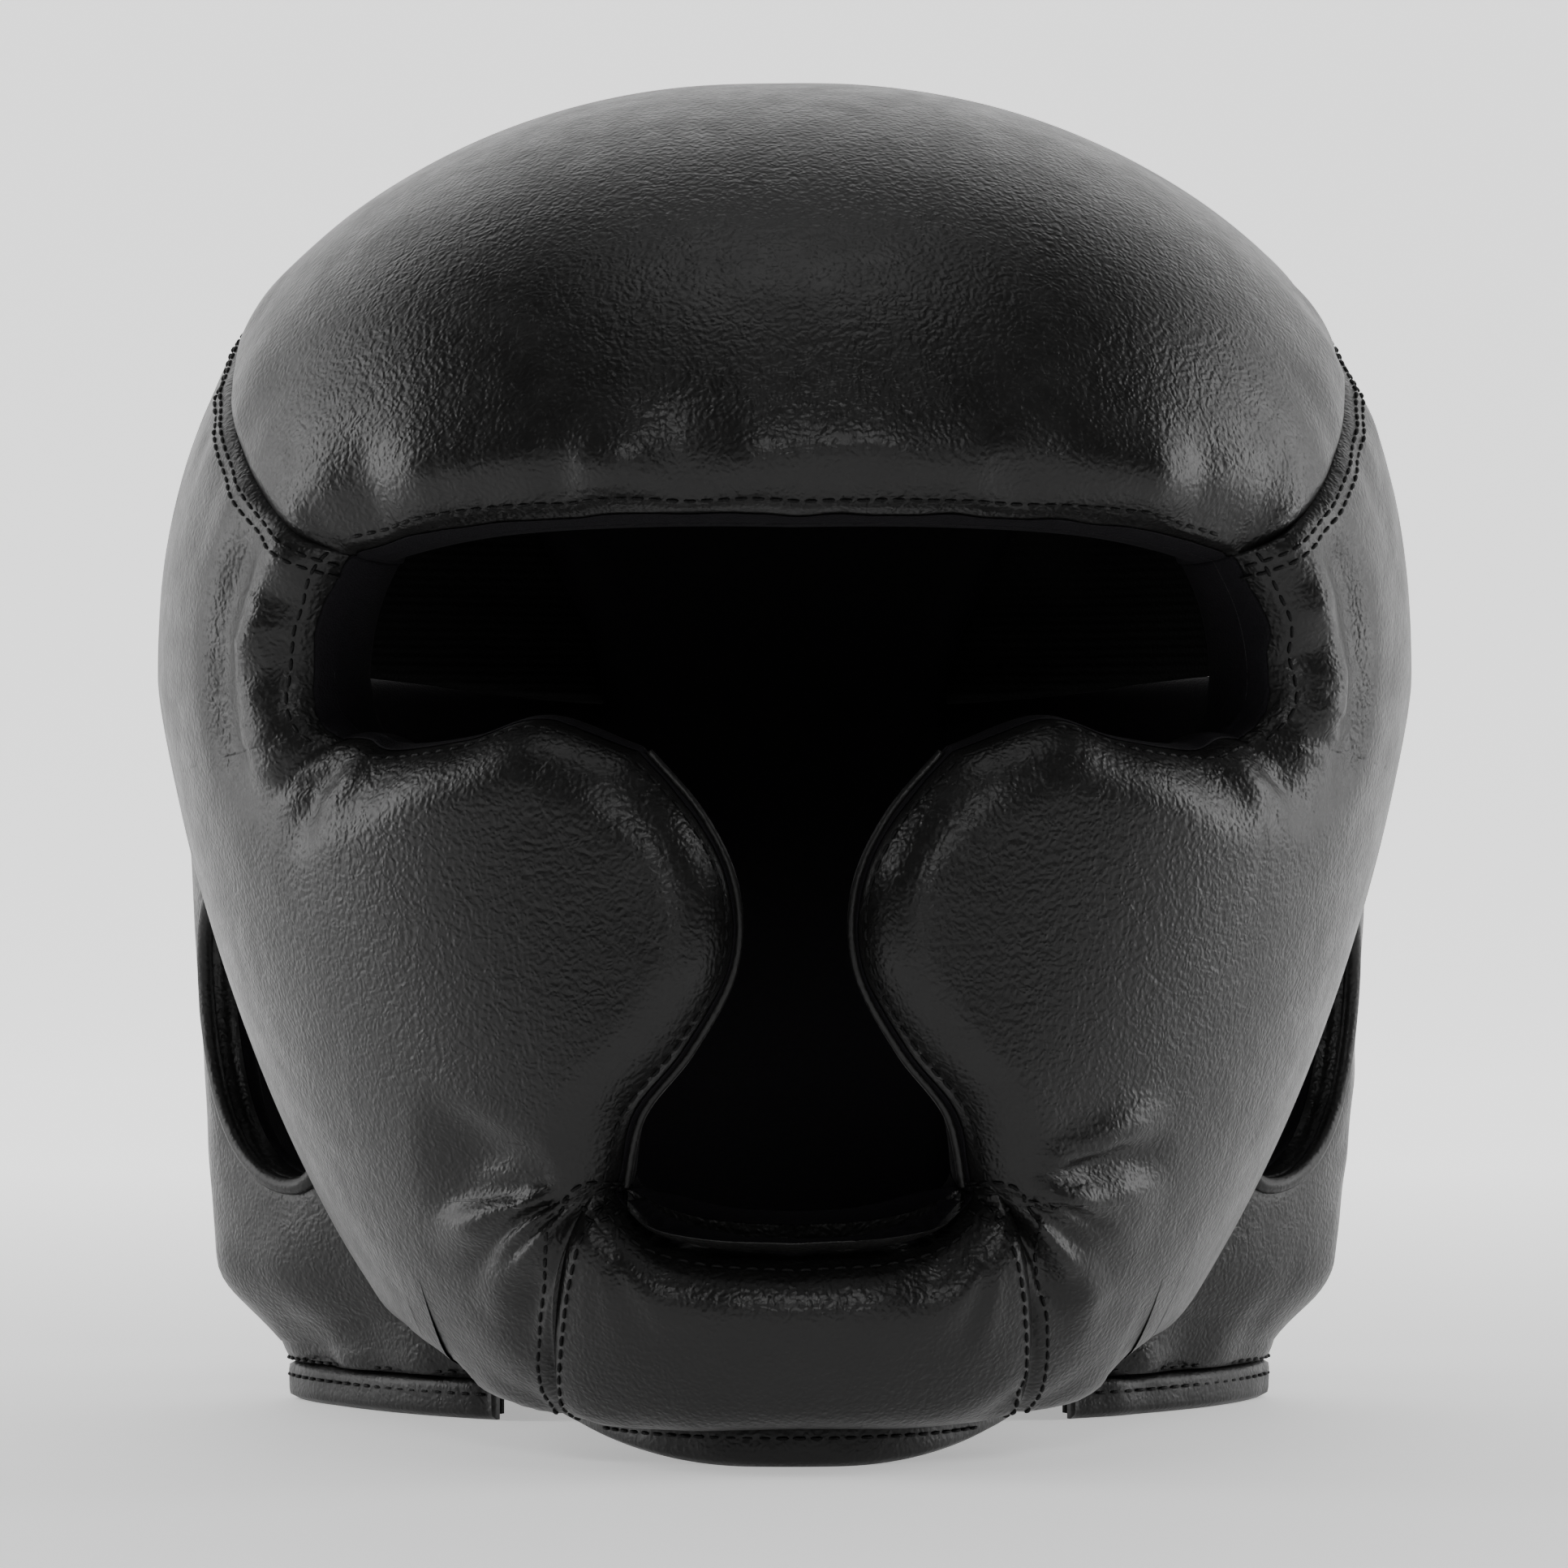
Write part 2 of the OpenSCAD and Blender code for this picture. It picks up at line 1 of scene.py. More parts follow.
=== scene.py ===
"""Looks of the full-face boxing headgear: stitched leather pads, linings, ear wings and rear straps."""

import math

import bpy
import numpy as np
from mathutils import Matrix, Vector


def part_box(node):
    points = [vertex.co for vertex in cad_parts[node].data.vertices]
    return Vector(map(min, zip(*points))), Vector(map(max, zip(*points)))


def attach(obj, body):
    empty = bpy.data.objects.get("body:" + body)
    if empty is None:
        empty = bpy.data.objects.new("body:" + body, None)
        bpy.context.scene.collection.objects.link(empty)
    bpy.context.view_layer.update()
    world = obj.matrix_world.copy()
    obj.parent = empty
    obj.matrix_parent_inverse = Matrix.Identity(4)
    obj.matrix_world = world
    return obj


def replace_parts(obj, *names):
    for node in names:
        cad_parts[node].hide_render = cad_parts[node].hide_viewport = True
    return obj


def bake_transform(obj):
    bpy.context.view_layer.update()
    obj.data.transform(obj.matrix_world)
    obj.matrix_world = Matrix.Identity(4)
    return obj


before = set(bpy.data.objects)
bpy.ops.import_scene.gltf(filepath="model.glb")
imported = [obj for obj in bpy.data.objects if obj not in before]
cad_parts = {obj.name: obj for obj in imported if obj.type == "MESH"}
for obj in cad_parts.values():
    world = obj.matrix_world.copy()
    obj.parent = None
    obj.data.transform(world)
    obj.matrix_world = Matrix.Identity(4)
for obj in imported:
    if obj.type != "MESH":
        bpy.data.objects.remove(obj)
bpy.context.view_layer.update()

# ---- sizes, in millimetres, from the frame
MM = 0.001
FACE_PAD = 28.0                     # padding thickness round the face
REAR_PAD = 16.0                     # padding thickness at the back and crown
WING_PAD = 9.0                      # padding thickness of the ear wings
HEM_H = 8.0                         # height of the hem bands


def box(node):
    low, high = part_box(node)
    return np.array(low) / MM, np.array(high) / MM


# The pads' middle surface lies inside their skins, by the amounts taken off here
MID_W = box("right_side_cover")[1][0] - 13.7
MID_FRONT = -box("right_side_cover")[0][1] - 12.0
MID_BACK = box("back_cover")[1][1] - 7.9
TOP = box("forehead_cover")[1][2]
WAIST = 0.557 * TOP                 # height of the widest level
RISE = TOP - 9.4 - WAIST
DROP = WAIST + 1
DOME_N = 2.27                       # squareness of the dome and of every level
SEAM_IN = MID_W / 115               # draws a seam in to the middle surface


# ---- small maths
def smooth(t):
    t = np.clip(t, 0, 1)
    return t * t * (3 - 2 * t)


def unit(v):
    return v / np.maximum(1e-9, np.linalg.norm(v, axis=-1, keepdims=True))


def wobble(x, wave, seed):
    """Smooth random curve between -1 and 1 with bumps about one wave apart."""
    values = np.random.default_rng(seed).uniform(-1, 1, 512)
    t = np.asarray(x) / wave + 200
    i = np.floor(t).astype(int)
    f = smooth(t - i)
    return values[i % 512] * (1 - f) + values[(i + 1) % 512] * f


def lumps(p, wave, seed):
    """Smooth random field between -1 and 1 in space."""
    table = np.random.default_rng(seed).uniform(-1, 1, (32, 32, 32))
    t = p / wave + 400
    i = np.floor(t).astype(int)
    f = smooth(t - i)
    total = 0
    for dx in (0, 1):
        for dy in (0, 1):
            for dz in (0, 1):
                weight = (
                    (f[..., 0] if dx else 1 - f[..., 0])
                    * (f[..., 1] if dy else 1 - f[..., 1])
                    * (f[..., 2] if dz else 1 - f[..., 2])
                )
                total = total + weight * table[
                    (i[..., 0] + dx) % 32, (i[..., 1] + dy) % 32, (i[..., 2] + dz) % 32
                ]
    return total


# ---- middle surface of the pads
def low(z):
    return np.clip((WAIST - z) / DROP, 0, 1)


def width_at(z):
    return np.maximum(1e-6, 1 - low(z) ** 1.25) ** 0.385


def front_at(z):
    return np.maximum(1e-6, 1 - low(z) ** 5) ** (1 / 5)


def back_at(z):
    return np.maximum(1e-6, 1 - low(z) ** 3) ** (1 / 3)


def reach(y, z):
    return np.where(y < 0, MID_FRONT * front_at(z), MID_BACK * back_at(z))


def up_part(z):
    return np.maximum(0, (z - WAIST) / RISE) ** DOME_N


def level(p):
    x, y, z = p[..., 0], p[..., 1], p[..., 2]
    return (np.abs(x) / (MID_W * width_at(z))) ** DOME_N + (np.abs(y) / reach(y, z)) ** DOME_N + up_part(z)


def onto(p):
    """Points moved onto the surface: away from the centre above the waist, level below it."""
    p = np.asarray(p, float)
    k = level(p) ** (-1 / DOME_N)
    z = np.where(p[..., 2] > WAIST, WAIST + (p[..., 2] - WAIST) * k, p[..., 2])
    return np.stack([p[..., 0] * k, p[..., 1] * k, z], -1)


def slope(p):
    """Outward direction of the surface."""
    steps = np.eye(3) * 0.05
    return unit(np.stack([level(p + s) - level(p - s) for s in steps], -1))


def pad_at(p):
    face = 1 - smooth((p[..., 1] + 10) / 80)
    crown = 1 - 0.7 * smooth((p[..., 2] - 195) / 50)
    return REAR_PAD + (FACE_PAD - REAR_PAD) * face * crown


def left_over(x, z):
    return np.maximum(1e-6, 1 - (abs(x) / (MID_W * width_at(z))) ** DOME_N - up_part(z)) ** (1 / DOME_N)


def face(x, z):
    return np.array([x, -MID_FRONT * front_at(z) * left_over(x, z), z])


def skin(x, z):
    return face(x * SEAM_IN, WAIST + (z - WAIST) * SEAM_IN)


def rear(x, z):
    return np.array([x, MID_BACK * back_at(z) * left_over(x, z), z])


def flank(y, z):
    share = np.maximum(1e-6, 1 - (abs(y) / reach(y, z)) ** DOME_N - up_part(z)) ** (1 / DOME_N)
    return np.array([MID_W * width_at(z) * share, y, z])


# ---- outlines, right side
SEAM = [flank(66, 181), flank(50, 196), flank(27, 205), flank(2, 207),
        skin(101, 198), skin(97, 180), skin(89, 168), face(76, 162)]
SEAM_CROWN = 2 / 7
CHEEK_TOP = [flank(24, 128), flank(-10, 126), flank(-42, 127), face(78, 131),
             face(69, 129), face(56, 130.5), face(43, 134), face(27, 128.5)]
TOP_TEMPLE = 3 / 7
EYE_SIDE = [face(76, 162), face(80.5, 153), face(82.5, 144), face(82, 136), face(78, 131)]
LOBE = [face(27, 128.5), face(16.5, 116), face(10.8, 103), face(11.2, 89), face(18.5, 75),
        face(27, 63.5), face(30, 50), skin(35.5, 42), skin(38, 29), face(32.5, 13)]
LOBE_CHIN = 6 / 9
JAW = [face(32.5, 13), face(47, 16), flank(-52, 20), flank(-22, 26), flank(2, 36)]
BACK_LOW = [flank(24, 128), flank(21, 96), flank(13, 64), flank(2, 36)]
BACK_HIGH = [flank(24, 128), flank(34, 146), flank(58, 160), flank(66, 181)]
CROWN_REAR = [rear(0, 178), rear(28, 178), rear(50, 176), rear(60, 186), rear(74, 188), flank(66, 181)]
BACK_TOP = [rear(0, 178), rear(28, 178), rear(50, 176)]
NAPE = [rear(0, 22), rear(20, 22), rear(38, 24)]
BROW = [face(0, 167.5), face(30, 167.5), face(56, 166), face(76, 162)]
MOUTH = [face(0, 40), face(14, 41), face(23.5, 44), face(30, 50)]
CHIN_LOW = [face(0, 12), face(15, 12), face(32.5, 13)]
BACK_SIDE = [rear(50, 176), rear(38, 152), rear(35, 132), rear(37, 96), rear(39, 62), rear(38, 24)]
CORONAL = [np.array([0, 22, RISE + WAIST]), flank(27, 205)]


def mirrored(p):
    return np.asarray(p) * [-1, 1, 1]


def spline(points, t):
    """Smooth curve through the points, at t from 0 to 1."""
    points = np.array(points)
    n = len(points) - 1
    t = np.atleast_1d(t) * n
    i = np.clip(np.floor(t).astype(int), 0, n - 1)
    f = (t - i)[:, None]
    p1, p2 = points[i], points[i + 1]
    p0 = np.where((i > 0)[:, None], points[np.maximum(i - 1, 0)], 2 * p1 - p2)
    p3 = np.where((i < n - 1)[:, None], points[np.minimum(i + 2, n)], 2 * p2 - p1)
    return 0.5 * (
        2 * p1 + (p2 - p0) * f + (2 * p0 - 5 * p1 + 4 * p2 - p3) * f**2 + (3 * p1 - p0 - 3 * p2 + p3) * f**3
    )


def part_of(points, start, end, t):
    return spline(points, start + (end - start) * np.asarray(t))


def across(points, t):
    """A line that runs from the left half over the middle to the right half."""
    t = np.atleast_1d(t)
    half = spline(points, np.abs(2 * t - 1))
    return np.where((t < 0.5)[:, None], mirrored(half), half)


def arch(points, t):
    """A line over the crown from side to side."""
    middle, end = points
    t = np.atleast_1d(t)
    a = np.radians((2 * t - 1) * 90)
    out = (2 * t - 1) ** 2
    return onto(np.stack([
        end[0] * np.sin(a),
        middle[1] + (end[1] - middle[1]) * out,
        WAIST + (end[2] - WAIST) * np.abs(np.sin(a)) + (middle[2] - WAIST) * np.cos(a)], -1))


def measure(points, line):
    """Distance from each point to a line, and how far along the line its nearest spot is."""
    flat = points.reshape(-1, 3)
    steps = np.linalg.norm(np.diff(line, axis=0), axis=1)
    along = np.concatenate([[0.0], np.cumsum(steps)])
    near = np.argmin((line**2).sum(1) - 2 * flat @ line.T, axis=1)
    best = np.full(len(flat), 1e9)
    where = np.zeros(len(flat))
    for first in (near - 1, near):
        first = np.clip(first, 0, len(line) - 2)
        a = line[first]
        ab = line[first + 1] - a
        t = np.clip(((flat - a) * ab).sum(1) / np.maximum(1e-9, (ab * ab).sum(1)), 0, 1)
        d = np.linalg.norm(flat - a - t[:, None] * ab, axis=1)
        closer = d < best
        best = np.where(closer, d, best)
        where = np.where(closer, along[first] + t * steps[first], where)
    return best.reshape(points.shape[:-1]), where.reshape(points.shape[:-1])


# ---- pads
class Edge:
    """One border of a pad: open ends in air and rolls over, a seam pulls the pad down into a groove."""

    def __init__(self, line, kind, roll=13.0, puckers=(), wrap=0.8):
        self.line = onto(line)
        self.kind = kind
        self.roll = roll
        self.wrap = wrap            # how far the lining comes round onto the outside
        self.puckers = puckers      # each is (height, wave, reach, seed)


def relief(p, edges, folds=()):
    """Height of the outer skin and depth of the inner one beside the middle surface at p."""
    half = pad_at(p) / 2
    inverse = 0
    dip = 0
    bumps = 0
    wrapped = 0 * half
    for edge in edges:
        d, along = measure(p, edge.line)
        if edge.kind == "open":
            inverse = inverse + (d / edge.roll + 1e-4) ** -4
            wide = edge.wrap * (1 + 0.16 * wobble(along, 6.5, 71))
            wrapped = np.maximum(wrapped, smooth((wide - d) / 0.9 + 0.5))
        else:
            dip = dip + 1.6 * np.exp(-((d / 1.2) ** 2)) + 0.5 * np.exp(-((d / 6) ** 2))
        for height, wave, far, seed in edge.puckers:
            bumps = bumps + height * wobble(along, wave, seed) * (d / far) * np.exp(1 - d / far)
    t = np.clip(inverse ** -0.25, 0, 1) if np.ndim(inverse) else 1.0
    roll = np.sqrt(np.maximum(0, t * (2 - t)))
    for fold in folds:
        bumps = bumps + fold(p)
    outer = np.maximum(0.7, (half - dip + bumps) * roll)
    inner = np.maximum(0.7, half * roll * 0.94)
    return outer, inner, wrapped


def rays(centre, toward, wave, near, far, height, spread, seed):
    """Folds that run outward from a centre on the surface, within spread radians of a direction."""
    centre = onto(centre)
    normal = slope(centre)
    along = unit(toward - centre - normal * ((toward - centre) @ normal))
    side = np.cross(normal, along)

    def fold(p):
        away = p - centre
        a = np.arctan2(away @ side, away @ along)
        r = np.linalg.norm(away, axis=-1)
        reach_in = smooth((r - near) / 6) * (1 - smooth((r - far * 0.55) / (far * 0.45)))
        keep = reach_in * (1 - smooth((np.abs(a) - spread * 0.6) / (spread * 0.4)))
        crest = wobble(a + 0.004 * r, wave, seed)
        return height * keep * (np.abs(crest) ** 0.8 * np.sign(crest))

    return fold


def clustered(n, first_open, last_open):
    """Steps from 0 to 1, closer together at an end that rolls over."""
    s = np.linspace(0, 1, n)
    if first_open and last_open:
        return (1 - np.cos(np.pi * s)) / 2
    if first_open:
        return 1 - np.cos(np.pi * s / 2)
    if last_open:
        return np.sin(np.pi * s / 2)
    return s


def patch(s, n, w, e, us, vs):
    """Grid filled in between four borders and moved onto the surface."""
    u = us[None, :, None]
    v = vs[:, None, None]
    return onto(
        (1 - v) * s[None] + v * n[None] + (1 - u) * w[:, None] + u * e[:, None]
        - (1 - u) * (1 - v) * s[0] - u * (1 - v) * s[-1] - (1 - u) * v * n[0] - u * v * n[-1]
    )


def dense(curve, *args):
    """A border curve sampled finely enough to measure from."""
    return curve(*args, np.linspace(0, 1, 400))


# ---- meshes
def make(name, points, faces, body, slot, material):
    mesh = bpy.data.meshes.new(name)
    mesh.from_pydata((np.asarray(points) * MM).tolist(), [], [list(f) for f in faces])
    mesh.validate()
    for polygon in mesh.polygons:
        polygon.use_smooth = True
    mesh.materials.append(material)
    obj = bpy.data.objects.new(name, mesh)
    bpy.context.scene.collection.objects.link(obj)
    if body:
        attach(obj, body)
    return obj


def shell_faces(rows, cols, gone=None):
    """Faces of a closed sheet made of an outer and an inner grid; gone marks cells left out."""
    solid = np.ones((rows + 1, cols + 1), bool)
    solid[0] = solid[-1] = False
    solid[:, 0] = solid[:, -1] = False
    if gone is not None:
        solid[1:-1, 1:-1] &= ~gone
    count = rows * cols
    faces = []
    for j in range(rows - 1):
        for i in range(cols - 1):
            if not solid[j + 1, i + 1]:
                continue
            a, b, c, d = j * cols + i, j * cols + i + 1, (j + 1) * cols + i + 1, (j + 1) * cols + i
            faces += [(a, b, c, d), (a + count, d + count, c + count, b + count)]
            for p, q, dj, di in ((b, a, -1, 0), (d, c, 1, 0), (a, d, 0, -1), (c, b, 0, 1)):
                if not solid[j + 1 + dj, i + 1 + di]:
                    faces.append((p, q, q + count, p + count))
    return faces


def sheet_mesh(outer, inner, gone=None):
    rows, cols = outer.shape[:2]
    return np.concatenate([outer.reshape(-1, 3), inner.reshape(-1, 3)]), shell_faces(rows, cols, gone)


def stacked(parts):
    """Several (points, faces) as one."""
    faces = []
    total = 0
    for p, f in parts:
        faces += [tuple(i + total for i in face) for face in f]
        total += len(p)
    return np.concatenate([p for p, _ in parts]), faces


def turned(part, side):
    """A part built for the right side, on the given side."""
    points, faces = part
    if side < 0:
        return mirrored(points), [f[::-1] for f in faces]
    return points, faces


def joined(parts):
    """Several (points, faces) as one, with points that coincide made one."""
    points, faces = stacked(parts)
    keys = np.round(points / 0.01).astype(np.int64)
    _, first, back = np.unique(keys, axis=0, return_index=True, return_inverse=True)
    back = back.reshape(-1)
    faces = [tuple(back[i] for i in face) for face in faces]
    return points[first], [f for f in faces if len(set(f)) > 2]


def tube(path, ups, radius, closed=False, sides=10, flat=1.0):
    """Round cord along a path."""
    path = np.asarray(path)
    ahead = np.roll(path, -1, 0) if closed else np.concatenate([path[1:], path[-1:]])
    behind = np.roll(path, 1, 0) if closed else np.concatenate([path[:1], path[:-1]])
    along = unit(ahead - behind)
    side = unit(np.cross(along, ups))
    up = np.cross(side, along)
    radius = np.broadcast_to(radius, len(path))[:, None]
    rings = []
    for k in range(sides):
        a = 2 * math.pi * k / sides
        rings.append(path + radius * (side * math.cos(a) + up * flat * math.sin(a)))
    points = np.stack(rings, 1).reshape(-1, 3)
    n = len(path)
    faces = []
    for i in range(n if closed else n - 1):
        for k in range(sides):
            j, m = (i + 1) % n, (k + 1) % sides
            faces.append((i * sides + k, i * sides + m, j * sides + m, j * sides + k))
    if not closed:
        faces.append(tuple(range(sides - 1, -1, -1)))
        faces.append(tuple((n - 1) * sides + k for k in range(sides)))
    return points, faces


def stitches(path, ups, pitch=3.1, length=2.3, radius=0.34, tilt=0.0):
    """Small threads in a row along a path."""
    path = np.asarray(path)
    steps = np.linalg.norm(np.diff(path, axis=0), axis=1)
    along = np.concatenate([[0.0], np.cumsum(steps)])
    parts = []
    ring = np.linspace(-1, 1, 7)
    for start in np.arange(pitch / 2, along[-1] - pitch / 2, pitch):
        at = start + ring * length / 2
        line = np.stack([np.interp(at, along, path[:, k]) for k in range(3)], -1)
        up = unit(np.stack([np.interp(at, along, ups[:, k]) for k in range(3)], -1))
        side = np.cross(up, unit(line[-1] - line[0]))
        line = line + up * (0.42 * (1 - ring**4) - 0.28)[:, None] + side * (tilt * ring)[:, None]
        parts.append(tube(line, up, radius * (1 - 0.45 * ring**4), sides=6))
    return stacked(parts)


# ---- materials
def node_maker(material):
    material.use_nodes = True
    tree = material.node_tree
    tree.nodes.clear()

    def add(kind, inputs=None, **settings):
        node = tree.nodes.new("ShaderNode" + kind)
        for key, value in settings.items():
            setattr(node, key, value)
        for key, value in (inputs or {}).items():
            if isinstance(value, bpy.types.NodeSocket):
                tree.links.new(value, node.inputs[key])
            else:
                node.inputs[key].default_value = value
        return node

    return add


def grey(value, warm=0.0):
    return (value * (1 + warm), value, value * (1 - warm), 1)


def leather(name, dark, rough, grain=1.0, crease=1.0, warm=0.02):
    """Pebbled synthetic leather with fine crinkle lines."""
    material = bpy.data.materials.new(name)
    add = node_maker(material)
    spot = add("TexCoord").outputs["Object"]
    drift = add("TexNoise", {"Vector": spot, "Scale": 260.0, "Detail": 2.0})
    shifted = add("VectorMath", {0: drift.outputs["Color"], 1: (0.0022, 0.0022, 0.0022)},
                  operation="MULTIPLY")
    warped = add("VectorMath", {0: spot, 1: shifted.outputs[0]}, operation="ADD").outputs[0]
    pebble = add("TexVoronoi", {"Vector": warped, "Scale": 1150.0}, feature="SMOOTH_F1")
    fine = add("TexNoise", {"Vector": spot, "Scale": 2400.0, "Detail": 3.0})
    lines = add("TexVoronoi", {"Vector": warped, "Scale": 190.0}, feature="DISTANCE_TO_EDGE")
    line_depth = add("MapRange", {"Value": lines.outputs["Distance"], "From Min": 0.0, "From Max": 0.12,
                                  "To Min": 0.0, "To Max": 1.0})
    patches = add("TexNoise", {"Vector": spot, "Scale": 34.0, "Detail": 4.0, "Roughness": 0.62})
    share = add("MapRange", {"Value": patches.outputs["Fac"], "From Min": 0.42, "From Max": 0.66})
    broad = add("TexNoise", {"Vector": spot, "Scale": 120.0, "Detail": 5.0, "Roughness": 0.68})

    def times(value, factor):
        return add("Math", {0: value, 1: factor}, operation="MULTIPLY").outputs[0]

    def plus(one, other):
        return add("Math", {0: one, 1: other}, operation="ADD").outputs[0]

    grained = plus(times(pebble.outputs["Distance"], -0.9 * grain), times(fine.outputs["Fac"], 0.22 * grain))
    creases = times(line_depth.outputs[0], share.outputs[0])
    creased = plus(times(creases, 0.22 * crease), times(broad.outputs["Fac"], 0.25 * crease))
    bump = add("Bump", {"Height": plus(grained, creased), "Strength": 0.5, "Distance": 0.0004})
    tone = add("MixRGB", {"Fac": patches.outputs["Fac"], "Color1": grey(dark * 0.8, warm),
                          "Color2": grey(dark * 1.25, warm)})
    gloss = add("MapRange", {"Value": broad.outputs["Fac"], "From Min": 0.3, "From Max": 0.7,
                             "To Min": rough - 0.06, "To Max": rough + 0.07})
    shader = add("BsdfPrincipled", {"Base Color": tone.outputs[0], "Roughness": gloss.outputs[0],
                                    "Normal": bump.outputs[0]})
    shader.inputs["IOR"].default_value = 1.42
    shader.inputs["Specular IOR Level"].default_value = 0.42
    add("OutputMaterial", {"Surface": shader.outputs[0]})
    return material


def cloth(name, dark, rough, scale, warm=0.0, tint=None, sheen=0.0, depth=0.0002):
    """Plain fabric with a fine thread pattern."""
    material = bpy.data.materials.new(name)
    add = node_maker(material)
    spot = add("TexCoord").outputs["Object"]
    weave = add("TexVoronoi", {"Vector": spot, "Scale": scale}, feature="F1")
    fuzz = add("TexNoise", {"Vector": spot, "Scale": scale * 0.3, "Detail": 4.0})
    height = add("Math", {0: weave.outputs["Distance"], 1: fuzz.outputs["Fac"]}, operation="ADD")
    bump = add("Bump", {"Height": height.outputs[0], "Strength": 0.5, "Distance": depth})
    base = tint or grey(dark, warm)
    tone = add("MixRGB", {"Fac": fuzz.outputs["Fac"], "Color1": [c * 0.75 for c in base[:3]] + [1],
                          "Color2": [c * 1.3 for c in base[:3]] + [1]})
    shader = add("BsdfPrincipled", {"Base Color": tone.outputs[0], "Roughness": rough,
                                    "Normal": bump.outputs[0]})
    shader.inputs["Sheen Weight"].default_value = sheen
    shader.inputs["Specular IOR Level"].default_value = 0.15
    add("OutputMaterial", {"Surface": shader.outputs[0]})
    return material


def webbing(name, dark, rib):
    """Woven strap with ribs along it."""
    material = bpy.data.materials.new(name)
    add = node_maker(material)
    spot = add("TexCoord").outputs["Object"]
    ribs = add("TexWave", {"Vector": spot, "Scale": rib, "Distortion": 0.6, "Detail": 1.0},
               wave_type="BANDS", bands_direction="Z")
    threads = add("TexVoronoi", {"Vector": spot, "Scale": 1300.0})
    height = add("Math", {0: ribs.outputs["Fac"], 1: threads.outputs["Distance"]}, operation="ADD")
    bump = add("Bump", {"Height": height.outputs[0], "Strength": 0.35, "Distance": 0.0004})
    tone = add("MixRGB", {"Fac": ribs.outputs["Fac"], "Color1": grey(dark * 0.7), "Color2": grey(dark * 1.3)})
    shader = add("BsdfPrincipled", {"Base Color": tone.outputs[0], "Roughness": 0.72,
                                    "Normal": bump.outputs[0]})
    shader.inputs["Specular IOR Level"].default_value = 0.15
    add("OutputMaterial", {"Surface": shader.outputs[0]})
    return material


def painted_light_paper(name, value, rough, low, high):
    """Plain pale backdrop paper with a faint grain; it glows as painted light, dimmer around and in front of
    the object as painted shade and brighter behind it.
    """
    material = bpy.data.materials.new(name)
    add = node_maker(material)
    spot = add("TexCoord").outputs["Object"]
    grain = add("TexNoise", {"Vector": spot, "Scale": 40.0})
    depth = add("SeparateXYZ", {"Vector": spot}).outputs["Y"]
    # painted light and shade: the paper's glow rises from low around and in front of the object to high
    # behind it
    painted_glow = add("MapRange", {"Value": depth, "From Min": 0.2, "From Max": 0.9, "To Min": low, "To Max": high})
    tone = add("MixRGB", {"Fac": grain.outputs["Fac"], "Color1": grey(value * 0.99), "Color2": grey(value)})
    shader = add("BsdfPrincipled", {"Base Color": tone.outputs[0], "Roughness": rough,
                                    "Emission Color": tone.outputs[0], "Emission Strength": painted_glow.outputs[0]})
    add("OutputMaterial", {"Surface": shader.outputs[0]})
    return material


LEATHER = leather("leather_pebbled", 0.0062, 0.37)
TRIM = leather("leather_trim", 0.006, 0.42, grain=0.7, crease=0.6)
LINING_CLOTH = cloth("lining_smooth", 0.0035, 0.8, 2600.0, tint=(0.0035, 0.003, 0.0042, 1), sheen=0.0)
THREAD = cloth("thread_black", 0.004, 0.6, 3000.0)
WEBBING = webbing("webbing_black", 0.002, 180.0)
TAPE = cloth("hook_and_loop_black", 0.003, 0.9, 1500.0, sheen=0.05, depth=0.0006)
ELASTIC = webbing("elastic_black", 0.003, 300.0)


# ---- cloth simulation
CELL = 5.0                          # spacing of the simulated leather, in millimetres
FRAMES = 20
SETTLE_CAP = 1.6                    # furthest that the leather settles in or out, in millimetres


def coarse_steps(grid):
    """Rows and columns of a grid that are about one cell apart."""
    picks = []
    for axis in (0, 1):
        length = np.linalg.norm(np.diff(grid, axis=axis), axis=-1).sum(axis).max()
        count = int(max(6, length / CELL))
        picks.append(np.unique(np.linspace(0, grid.shape[axis] - 1, count).round().astype(int)))
    return picks


def softened(values):
    """Values averaged with their neighbours on the grid."""
    for axis in (0, 1):
        values = np.moveaxis(values, axis, 0)
        padded = np.concatenate([values[:1], values, values[-1:]])
        values = np.moveaxis((padded[:-2] + 2 * padded[1:-1] + padded[2:]) / 4, 0, axis)
    return values


def refine(values, rows, cols, shape):
    """Values at some rows and columns, filled in smoothly over the whole grid."""
    for steps, size in ((rows, shape[0]), (cols, shape[1])):
        t = np.interp(np.arange(size), steps, np.linspace(0, 1, len(steps)))
        values = spline(values, t).T
    return values


